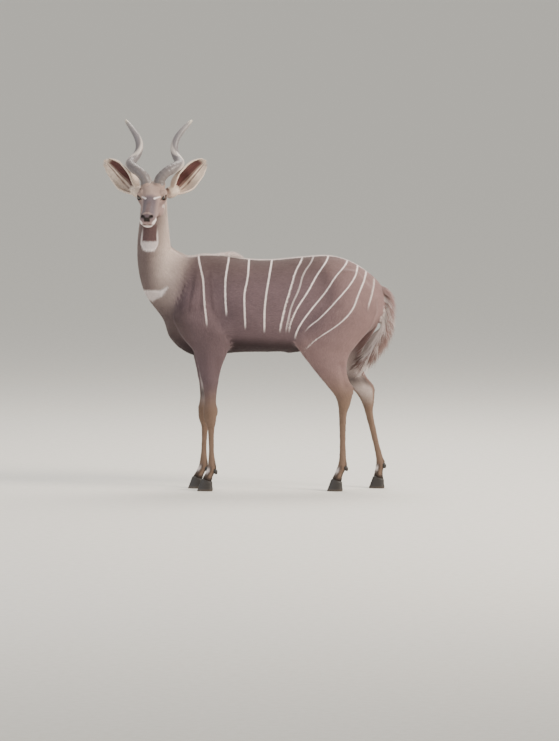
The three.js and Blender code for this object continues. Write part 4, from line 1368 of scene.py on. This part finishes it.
def tuft_form(name, widths, rise, stiff, thick):
    """One tuft, a unit long: a three-sided blade that tapers to a point and bends over to lie along +Y.
    Each width is its share of the full width at even steps from the root to the last ring."""
    steps = len(widths)
    points, faces = [], []
    for i, wide in enumerate(widths):
        at = bend_at(i / steps, rise, stiff)
        for x, z in ((-0.5, 0.0), (0.5, 0.0), (0.0, thick)):
            points.append((x * wide, at[0], at[1] + z * wide))
    points.append((0, *bend_at(1.0, rise, stiff)))
    for i in range(steps - 1):
        for k in range(3):
            a, b = 3 * i + k, 3 * i + (k + 1) % 3
            faces.append((a, b, b + 3, a + 3))
    last = 3 * (steps - 1)
    faces += [(last + k, last + (k + 1) % 3, len(points) - 1) for k in range(3)]
    faces.append((2, 1, 0))
    points, faces = facing_out(np.array(points), faces)
    return new_object(name, points, faces)


def bend_at(t, rise, stiff):
    """How far along the lie and how high the tuft's middle line is, sunk a little at the root."""
    sink = 0.06
    return np.array([t * math.sqrt(1 - rise**2), rise * (t * (1 + stiff) - stiff * t * t) - sink * (1 - t)])


def hair_tree(name):
    """Plants tufts over one patch of the hide, standing on it and lying along its coat."""
    tree = bpy.data.node_groups.new(name, "GeometryNodeTree")
    ports = [
        ("Hide", "NodeSocketGeometry", None), ("Tuft", "NodeSocketObject", None),
        ("Patch", "NodeSocketInt", 0), ("Any patch", "NodeSocketBool", False),
        ("Length field", "NodeSocketString", "short_length"), ("Length", "NodeSocketFloat", 0.015),
        ("Width", "NodeSocketFloat", 0.005), ("Spacing", "NodeSocketFloat", 0.004),
        ("Stray", "NodeSocketFloat", 0.2), ("Tilt", "NodeSocketFloat", 0.0), ("Seed", "NodeSocketInt", 1),
        ("Material", "NodeSocketMaterial", None),
    ]
    for label, kind, default in ports:
        socket = tree.interface.new_socket(label, in_out="INPUT", socket_type=kind)
        if default is not None:
            socket.default_value = default
    tree.interface.new_socket("Hair", in_out="OUTPUT", socket_type="NodeSocketGeometry")
    given = add_node(tree, "NodeGroupInput").outputs

    def field(kind, name_):
        node = add_node(tree, "GeometryNodeInputNamedAttribute", {"Name": name_}, data_type=kind)
        return node.outputs["Attribute"]

    here = add_node(tree, "FunctionNodeCompare", data_type="INT", operation="EQUAL")
    tree.links.new(field("INT", "patch"), here.inputs[2])
    tree.links.new(given["Patch"], here.inputs[3])
    chosen = add_node(
        tree, "FunctionNodeBooleanMath", {0: here.outputs[0], 1: given["Any patch"]}, operation="OR")
    length = field("FLOAT", given["Length field"])
    grows = add_node(
        tree, "FunctionNodeCompare", {0: length, 1: 0.05}, data_type="FLOAT", operation="GREATER_THAN")
    density = add_node(tree, "ShaderNodeMath", {0: grows.outputs[0], 1: 1.0}, operation="MULTIPLY")
    cover = add_node(tree, "ShaderNodeMath", {0: 1.0, 1: given["Spacing"]}, operation="DIVIDE")
    most = add_node(tree, "ShaderNodeMath", {0: cover.outputs[0], 1: 2.0}, operation="POWER")
    spread = add_node(tree, "GeometryNodeDistributePointsOnFaces", {
        "Mesh": given["Hide"], "Selection": chosen.outputs[0], "Distance Min": given["Spacing"],
        "Density Max": most.outputs[0], "Density Factor": density.outputs[0], "Seed": given["Seed"],
    }, distribute_method="POISSON", use_legacy_normal=False)
    turned = add_node(tree, "FunctionNodeAxesToRotation", {
        "Primary Axis": spread.outputs["Normal"], "Secondary Axis": field("FLOAT_VECTOR", "lie"),
    }, primary_axis="Z", secondary_axis="Y")
    strays = []
    for offset in (1, 2):
        seed = add_node(tree, "ShaderNodeMath", {0: given["Seed"], 1: float(offset)}, operation="ADD")
        low = add_node(tree, "ShaderNodeMath", {0: given["Stray"], 1: -1.0}, operation="MULTIPLY")
        strays.append(add_node(tree, "FunctionNodeRandomValue", {
            2: low.outputs[0], 3: given["Stray"], "Seed": seed.outputs[0]}, data_type="FLOAT").outputs[1])
    half = add_node(
        tree, "ShaderNodeMath", {0: strays[1], 1: 0.4, 2: given["Tilt"]}, operation="MULTIPLY_ADD")
    swing = add_node(tree, "ShaderNodeCombineXYZ", {"X": half.outputs[0], "Z": strays[0]})
    swung = add_node(tree, "FunctionNodeRotateRotation", {
        "Rotation": turned.outputs[0], "Rotate By": swing.outputs[0]}, rotation_space="LOCAL")
    vary = add_node(
        tree, "FunctionNodeRandomValue", {2: 0.72, 3: 1.18, "Seed": given["Seed"]}, data_type="FLOAT")
    scaled = add_node(tree, "ShaderNodeMath", {0: length, 1: given["Length"]}, operation="MULTIPLY")
    long_ = add_node(tree, "ShaderNodeMath", {0: scaled.outputs[0], 1: vary.outputs[1]}, operation="MULTIPLY")
    slim = add_node(tree, "ShaderNodeMath", {0: length, 1: 0.5}, operation="POWER")
    wide = add_node(tree, "ShaderNodeMath", {0: given["Width"], 1: slim.outputs[0]}, operation="MULTIPLY")
    size = add_node(tree, "ShaderNodeCombineXYZ", {
        "X": wide.outputs[0], "Y": long_.outputs[0], "Z": long_.outputs[0]})
    tuft = add_node(tree, "GeometryNodeObjectInfo", {"Object": given["Tuft"]})
    planted = add_node(tree, "GeometryNodeInstanceOnPoints", {
        "Points": spread.outputs["Points"], "Instance": tuft.outputs["Geometry"],
        "Rotation": swung.outputs[0], "Scale": size.outputs[0]})
    real = add_node(tree, "GeometryNodeRealizeInstances", {"Geometry": planted.outputs[0]})
    dressed = add_node(tree, "GeometryNodeSetMaterial", {
        "Geometry": real.outputs[0], "Material": given["Material"]})
    add_node(tree, "NodeGroupOutput", {"Hair": dressed.outputs[0]})
    return tree


def planted_mesh(hide, tree, values):
    """The hair that the tree grows on the hide, as a plain mesh."""
    grower = bpy.data.objects.new("grower", hide.data)
    bpy.context.scene.collection.objects.link(grower)
    nodes = grower.modifiers.new("hair", "NODES")
    nodes.node_group = tree
    ports = {item.name: item.identifier for item in tree.interface.items_tree if item.in_out == "INPUT"}
    for name, value in values.items():
        nodes[ports[name]] = value
    mesh = evaluated_mesh(grower)
    bpy.data.objects.remove(grower)
    return mesh


def finish_hair(name, mesh, corners, tinted=None, variety=0.045):
    """Colours each tuft from the hide at its root, lights it as the hide is lit, and gives it its own small
    patch of the bake's map."""
    skin = np.empty(len(mesh.vertices) * 3)
    mesh.attributes["skin_normal"].data.foreach_get("vector", skin)
    for attribute in list(mesh.attributes):
        if attribute.name in HIDE_FIELDS:
            mesh.attributes.remove(attribute)
    points = coordinates(mesh)
    tufts = len(points) // corners
    roots = from_frame(points.reshape(tufts, corners, 3)[:, :3].mean(1))
    found = CHARTS.find(roots)
    full = np.ones((tufts, corners, 4))
    full[:, :, :3] = markings(roots, found)[:, None]
    if tinted is not None:
        full[:, :, :3] = tinted(full[:, :, :3], found, corners)
    random = np.random.default_rng(bpy.context.scene.kudu_coat.seed)
    shade = random.normal(1.0, variety, tufts)
    dark = np.ones((tufts, corners, 4))
    dark[:, :, :3] = (shade[:, None] * np.linspace(0.9, 1.05, corners))[:, :, None]
    store(mesh, "coat_colour", "FLOAT_COLOR", full.reshape(-1, 4))
    store(mesh, "tuft_shade", "FLOAT_COLOR", dark.reshape(-1, 4))
    phase, pitch, gain = stripe_fields(from_frame(points))
    store(mesh, "stripe_count", "FLOAT", phase)
    store(mesh, "stripe_pitch", "FLOAT", pitch)
    store(mesh, "stripe_gain", "FLOAT", gain * np.repeat(stripes_on(roots, found), corners))
    bake_map(mesh, corners, found)
    mesh.shade_smooth()
    lean = np.repeat(random.normal(0, 0.11, (tufts, 3)), corners, axis=0)
    mesh.normals_split_custom_set_from_vertices(unit(skin.reshape(-1, 3) + lean))
    made = bpy.data.objects.new(name, mesh)
    bpy.context.scene.collection.objects.link(made)
    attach(made, "root")
    return made


HIDE_FIELDS = {
    "lie", "patch", "short_length", "mane_length", "tail_length", "bare", "grain", "stripe_count",
    "stripe_pitch", "stripe_gain", "coat_colour", "skin_normal",
}
PATCH_SHARE = 0.003


def bake_map(mesh, corners, found):
    """Each tuft is a small patch at its root's place on an unwrap by way along and way round the forms."""
    def spread(values):
        return (values - values.min()) / max(values.max() - values.min(), 1e-6)

    form = found["form"]
    length = np.array([CHARTS.length[f] for f in range(len(CHARTS.length))])[form]
    cells = sorted(set(form.tolist()))
    column = np.searchsorted(cells, form)
    u = (column + 0.01 + spread(np.clip(found["along"] / length, 0, 1)) * 0.98) / len(cells)
    v = spread(found["round"] % 1)
    base = np.stack([u, v], axis=1) * (1 - 2 * PATCH_SHARE) + PATCH_SHARE / 2
    local = np.zeros((corners, 2))
    for i in range(corners):
        ring, k = divmod(i, 3)
        local[i] = ((k / 2), ring / max(corners // 3, 1))
    places = (base[:, None] + local[None] * PATCH_SHARE).reshape(-1, 2)
    loops = np.empty(len(mesh.loops), int)
    mesh.loops.foreach_get("vertex_index", loops)
    layer = mesh.uv_layers.get(UV_MAP) or mesh.uv_layers.new(name=UV_MAP)
    layer.data.foreach_set("uv", np.ascontiguousarray(places[loops]).ravel())


# How close together the tufts grow and how wide they are on each kind of patch, in shares of the trunk's
TUFT_SIZES = {
    "trunk": (1.0, 1.0), "belly": (1.0, 1.0), "neck": (1.0, 0.95), "head": (0.74, 0.55), "ear": (0.9, 0.7),
    "foreleg": (0.9, 0.8), "hindleg": (1.0, 0.9), "tail": (1.1, 0.9),
}


def make_short_coat(context):
    """The short coat over every patch of the hide, one piece for each."""
    settings = context.scene.kudu_coat
    hide = bpy.data.objects["hide"]
    tree = hair_tree("Short coat")
    tuft = tuft_form("tuft", (1.0,), 0.13, 0.75, 0.07)
    corners = len(tuft.data.vertices)
    material = hair_material("Short coat tufts", 0.8)
    for number, patch in enumerate(PATCHES):
        kind = patch.split("_")[0]
        closeness, slimness = TUFT_SIZES[kind]
        mesh = planted_mesh(hide, tree, {
            "Tuft": tuft, "Patch": number, "Length": settings.length, "Width": settings.width * slimness,
            "Spacing": settings.spacing * closeness, "Stray": 0.16, "Seed": settings.seed + number,
            "Material": material,
        })
        finish_hair("coat_" + patch, mesh, corners)
    bpy.data.objects.remove(tuft)


def mane_tint(colours, found, corners):
    """White at the root along the back, and grey-beige in the standing tips; the mane stays dull."""
    palette = bpy.context.scene.kudu_colours
    white, pale = np.array(palette.white), np.array(palette.forehead)
    behind = (NECK_ROOT - found["along"])[:, None, None]
    tip = soft(np.linspace(0, 1, corners), 0.3, 0.8)[None, :, None]
    rooted = colours + (white - colours) * soft(behind, 60, 150) * 0.85
    return rooted + (pale - rooted) * tip * 0.75


# Each kind of long hair: the setting and field that give its length, its tufts' form, and how they grow, in metres
LONG_HAIR = {
    "mane": {
        "length": "mane", "field": "mane_length", "rise": 0.42, "stiff": 0.55, "thick": 0.04,
        "width": 0.0021, "spacing": 0.002, "stray": 0.42, "slot": "body_coat", "tint": mane_tint,
    },
    "tail_hair": {
        "length": "tail", "field": "tail_length", "rise": 0.38, "stiff": 0.75, "thick": 0.02,
        "width": 0.0019, "spacing": 0.0016, "stray": 0.26, "slot": "tail_coat", "tint": None,
    },
}
LONG_HAIR_SEED = 40


def make_long_hair(context):
    """Mane, crest and the tail's bush, in longer tufts that stand off the hide."""
    settings = context.scene.kudu_coat
    hide = bpy.data.objects["hide"]
    tree = hair_tree("Long hair")
    material = hair_material("Long mane and tail hair", 0.7)
    for number, (name, kind) in enumerate(LONG_HAIR.items()):
        tuft = tuft_form("long_tuft", (0.9, 0.9, 0.6), kind["rise"], kind["stiff"], kind["thick"])
        corners = len(tuft.data.vertices)
        mesh = planted_mesh(hide, tree, {
            "Tuft": tuft, "Any patch": True, "Length field": kind["field"],
            "Length": getattr(settings, kind["length"]), "Width": kind["width"], "Spacing": kind["spacing"],
            "Stray": kind["stray"], "Seed": settings.seed + LONG_HAIR_SEED + number, "Material": material,
        })
        finish_hair(name, mesh, corners, kind["tint"], variety=0.07)
        bpy.data.objects.remove(tuft)


# Eyes, horns and hooves


def make_eyes():
    """Eyeballs with a slight cornea, set in the opened lids."""
    material = eye_material()
    x, y, z = EYE_AT
    for name, side in SIDES.items():
        points, faces = ellipsoid((0, 0, 0), (1, 1, 1), across=40, up=28)
        radial = unit(points)
        bulge = 1 + 0.07 * soft(radial[:, 1] * side, 0.72, 0.95)
        local = radial * (EYE_RADIUS - 0.4) * bulge[:, None]
        eye = new_object("eyeball_" + name, to_frame(to_body(local + [x, side * y, z])), faces)
        store(eye.data, "eye_place", "FLOAT_VECTOR", local * [1, side, 1])
        eye.data.materials.append(material)
        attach(eye, "root")
        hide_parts("eye_" + name)


def spiral_angle(t):
    return HORN["start_angle"] + HORN["turn"] * (t + 0.42 * t * (1 - t))


def horn_middle(t, side):
    """The horn's middle line, in the head's frame, on an open spiral round an axis that leans back."""
    def spiral(s):
        angle = math.radians(spiral_angle(s))
        coil = mix(HORN["coil"], HORN["coil_tip"], float(soft(s, 0.3, 1.1)))
        splay = HORN["splay"] * max(0.0, s) ** 1.9
        return splay + coil * math.sin(angle), HORN["flat"] * coil * math.cos(angle)

    start, here = spiral(0), spiral(t)
    outwards, forwards = here[0] - start[0], here[1] - start[1]
    back, up = math.cos(math.radians(HORN["lean"])), math.sin(math.radians(HORN["lean"]))
    bx, by, bz = HORN["base"]
    reach = HORN["length"] * t
    return np.array([
        bx + back * reach - up * forwards,
        side * (by + outwards),
        bz + up * reach + back * forwards,
    ])


def horn_rings(side, sides=44, count=240):
    """Rings up the horn, with its keel and the low wrinkles that ring its lower half."""
    rings, share, keel, grain = [], [], [], []
    travelled = 0.0
    before = None
    for i in range(count + 1):
        t = i / count
        along = mix(-0.035, 1, t)
        middle = horn_middle(along, side)
        travelled += 0 if before is None else np.linalg.norm(middle - before)
        before = middle
        tangent = unit(horn_middle(along + 0.01, side) - horn_middle(along - 0.01, side))
        out = unit(np.array([0, side, 0]) - tangent * side * tangent[1])
        front = unit(np.cross(out, tangent) * side)
        thick = mix(HORN["thick_tip"], HORN["thick_base"], (1 - t) ** HORN["taper"])
        angle = np.arange(sides) * 2 * math.pi / sides
        ridge = np.maximum(0, np.cos(angle - math.radians(spiral_angle(along)))) ** 3
        wave = math.sin(travelled / 8.5 * math.pi) + 0.5 * math.sin(travelled / 5.3 * math.pi + 1)
        wrinkle = 0.018 * wave * float(soft(t, 0.62, 0.2)) * float(soft(t, 0.0, 0.06))
        radius = thick * (1 + 1.1 * HORN["keel"] * ridge * (1 - t) + wrinkle * (1 - 0.7 * ridge)) * 0.985
        rings.append(middle + np.cos(angle)[:, None] * front * radius[:, None]
                     + np.sin(angle)[:, None] * out * radius[:, None])
        share.append(np.full(sides, t))
        keel.append(ridge)
        grain.append(np.stack([np.full(sides, travelled / 26), angle * 3.6, np.zeros(sides)], axis=1))
    return np.array(rings), np.concatenate(share), np.concatenate(keel), np.concatenate(grain)


def make_horns():
    """Open spirals with a keel, darker and wrinkled low down, smooth and pale at the tips."""
    material = horn_material()
    for name, side in SIDES.items():
        rings, share, keel, grain = horn_rings(side)
        points, faces = shell_of(rings)
        horn = new_object("horn_sheath_" + name, to_frame(to_body(points)), faces)
        store(horn.data, "horn_share", "FLOAT", np.concatenate([share, [0, 1]]))
        store(horn.data, "horn_keel", "FLOAT", np.concatenate([keel, [0, 0]]))
        store(horn.data, "horn_grain", "FLOAT_VECTOR", np.vstack([grain, grain[:1], grain[-1:]]))
        horn.data.materials.append(material)
        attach(horn, "root")
        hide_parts("horn_" + name)


def claw_rings(foot, side, way):
    """One half of a cloven hoof: flat below, pointed in front, its top sloping with the foot's end."""
    fx, fz, bx, bz, _, y, _, _ = foot
    toe = (fx + bx) / 2 - CLAW["length"] * CLAW["ahead"]
    heel = toe + CLAW["length"]
    slope = (fz - bz) / (fx - bx)
    front, back = fx + 1, bx - 1
    top_front = fz + slope * (front - fx) - 0.3
    top_back = fz + slope * (back - fx) - 0.3
    at = y + way * CLAW["apart"]
    ribs = [
        rib((toe + 1, 0), (heel - 1, 0), CLAW["half_width"] - 1, y=at, low=0.42),
        rib((toe, 1.5), (heel, 1.5), CLAW["half_width"], y=at, low=0.42),
        rib((toe + 3, 8), (heel + 1, 8), CLAW["half_width"] + 0.4, y=at, low=0.42),
        rib(
            (mix(toe, front, 0.55), top_front * 0.55), (mix(heel, back, 0.5), top_back * 0.5),
            10.8, y=at, low=0.3,
        ),
        rib((front, top_front), (back, top_back), 10.0, y=at, low=0.15),
        rib((front + 6, top_front + 4), (back - 5, top_back + 3), 7.0, y=at, low=0.1),
    ]
    return loft(ribs, 32, 4, side)


def make_hooves():
    """Eight claws and the dewclaws behind each fetlock."""
    material = hoof_material()
    for leg in LEGS:
        side = SIDES[leg.split("_")[1]]
        ribs = striding(leg)
        for where, way in (("outer", 1), ("inner", -1)):
            points, faces = shell_of(claw_rings(ribs[-1], side, way))
            claw = new_object(f"claw_{leg}_{where}", to_frame(points), faces)
            claw.data.materials.append(material)
            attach(claw, "root")
            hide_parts(f"hoof_{leg}_{where}")
        x, z, y = ribs[-3][2] - DEWCLAW["sunk"], ribs[-3][3] - DEWCLAW["below"], ribs[-3][5]
        pads = [
            ellipsoid((x, side * (y + way * DEWCLAW["apart"]), z), DEWCLAW["radii"], (0, DEWCLAW["lean"], 0))
            for way in (-1, 1)
        ]
        points, faces = joined(pads)
        dewclaws = new_object("dewclaws_" + leg, to_frame(points), faces)
        dewclaws.data.materials.append(material)
        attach(dewclaws, "root")


# Stage


def make_stage(context):
    """Camera, pale floor and soft lights."""
    settings = context.scene.kudu_stage
    aim = Vector(to_frame((18.5, -48, 494)).tolist())
    aim.z = 0.494
    back = Vector((
        math.sin(settings.azimuth) * math.cos(settings.elevation),
        -math.cos(settings.azimuth) * math.cos(settings.elevation),
        math.sin(settings.elevation),
    ))
    lens = bpy.data.cameras.new("camera")
    lens.sensor_width = 36
    lens.lens = lens.sensor_width * settings.distance / settings.height_of_frame
    lens.clip_end = 2000
    camera = bpy.data.objects.new("camera", lens)
    camera.location = aim + back * settings.distance
    camera.rotation_euler = (-back).to_track_quat("-Z", "Y").to_euler()
    context.scene.collection.objects.link(camera)
    context.scene.camera = camera

    # Painted floor: matt and pale, a little mottled so that it isn't one flat tone
    material, tree, shader = new_material(
        "Matt painted floor", **{"Roughness": 0.9, "Specular IOR Level": 0.2})
    place = add_node(tree, "ShaderNodeTexCoord").outputs["Object"]
    mottle = add_node(tree, "ShaderNodeTexNoise", {"Vector": place, "Scale": 34.0, "Detail": 3.0})
    tone = ramp(tree, mottle.outputs["Fac"], [(0.3, hex_colour("#e0ddd6")), (0.7, hex_colour("#e7e4de"))])
    tree.links.new(tone, shader.inputs["Base Color"])
    reach = 400.0
    angle = np.arange(96) * 2 * math.pi / 96
    rim = np.stack([np.cos(angle) * reach, np.sin(angle) * reach, 0 * angle], axis=1)
    floor = new_object("floor", rim, [tuple(range(96))], smooth=False)
    floor.data.materials.append(material)

    world = bpy.data.worlds.new("studio")
    world.use_nodes = True
    world.node_tree.nodes["Background"].inputs["Color"].default_value = (*hex_colour("#e9e8e4"), 1)
    world.node_tree.nodes["Background"].inputs["Strength"].default_value = 0.85
    context.scene.world = world
    lamps = (
        ("key", (5.5, -3.1, 4.3), 2.4, 1.0, hex_colour("#fff4e6")),
        ("fill", (-4.6, -4.6, 2.6), 3.4, 0.16, hex_colour("#eef3ff")),
        ("top", (0.6, 2.2, 4.8), 3.0, 0.35, hex_colour("#fffaf2")),
    )
    for name, place, size, share, colour in lamps:
        light = bpy.data.lights.new(name, "AREA")
        light.energy = settings.key * share
        light.size = size
        light.color = colour
        lamp = bpy.data.objects.new(name, light)
        lamp.location = place
        lamp.rotation_euler = (aim - lamp.location).to_track_quat("-Z", "Y").to_euler()
        lamp.visible_camera = False
        context.scene.collection.objects.link(lamp)


# Operators and panel


class KUDU_OT_stage(bpy.types.Operator):
    """Sets the camera, floor and lights"""
    bl_idname = "kudu.stage"
    bl_label = "Stage"

    def execute(self, context):
        make_stage(context)
        return {"FINISHED"}


class KUDU_OT_hide(bpy.types.Operator):
    """Makes the hide as one closed skin with its markings"""
    bl_idname = "kudu.hide"
    bl_label = "Hide"

    def execute(self, context):
        make_hide(context)
        return {"FINISHED"}


class KUDU_OT_short_coat(bpy.types.Operator):
    """Grows the short coat over the hide"""
    bl_idname = "kudu.short_coat"
    bl_label = "Short Coat"

    def execute(self, context):
        make_short_coat(context)
        return {"FINISHED"}


class KUDU_OT_long_hair(bpy.types.Operator):
    """Grows the mane, the crest and the tail's bush"""
    bl_idname = "kudu.long_hair"
    bl_label = "Mane and Tail"

    def execute(self, context):
        make_long_hair(context)
        return {"FINISHED"}


class KUDU_OT_eyes(bpy.types.Operator):
    """Makes both eyes"""
    bl_idname = "kudu.eyes"
    bl_label = "Eyes"

    def execute(self, context):
        make_eyes()
        return {"FINISHED"}


class KUDU_OT_horns(bpy.types.Operator):
    """Makes both horns"""
    bl_idname = "kudu.horns"
    bl_label = "Horns"

    def execute(self, context):
        make_horns()
        return {"FINISHED"}


class KUDU_OT_hooves(bpy.types.Operator):
    """Makes the hooves and dewclaws"""
    bl_idname = "kudu.hooves"
    bl_label = "Hooves"

    def execute(self, context):
        make_hooves()
        return {"FINISHED"}


OPERATORS = (
    KUDU_OT_stage, KUDU_OT_hide, KUDU_OT_short_coat, KUDU_OT_long_hair, KUDU_OT_eyes, KUDU_OT_horns,
    KUDU_OT_hooves,
)


class KUDU_PT_panel(bpy.types.Panel):
    """Lists the kudu's settings and its pieces in the order they are made"""
    bl_idname = "KUDU_PT_panel"
    bl_label = "Lesser Kudu"
    bl_space_type = "VIEW_3D"
    bl_region_type = "UI"
    bl_category = "Kudu"

    def draw(self, context):
        for group in (context.scene.kudu_coat, context.scene.kudu_colours, context.scene.kudu_stage):
            box = self.layout.box()
            for name in group.__annotations__:
                box.prop(group, name)
        for operator in OPERATORS:
            self.layout.operator(operator.bl_idname)


CLASSES = (KuduCoatSettings, KuduColourSettings, KuduStageSettings, *OPERATORS, KUDU_PT_panel)


def register():
    for made in CLASSES:
        bpy.utils.register_class(made)
    bpy.types.Scene.kudu_coat = PointerProperty(type=KuduCoatSettings)
    bpy.types.Scene.kudu_colours = PointerProperty(type=KuduColourSettings)
    bpy.types.Scene.kudu_stage = PointerProperty(type=KuduStageSettings)


def unregister():
    for name in ("kudu_coat", "kudu_colours", "kudu_stage"):
        delattr(bpy.types.Scene, name)
    for made in reversed(CLASSES):
        bpy.utils.unregister_class(made)


def main():
    register()
    for operator in ("stage", "hide", "short_coat", "long_hair", "eyes", "horns", "hooves"):
        getattr(bpy.ops.kudu, operator)()


if __name__ == "__main__":
    main()
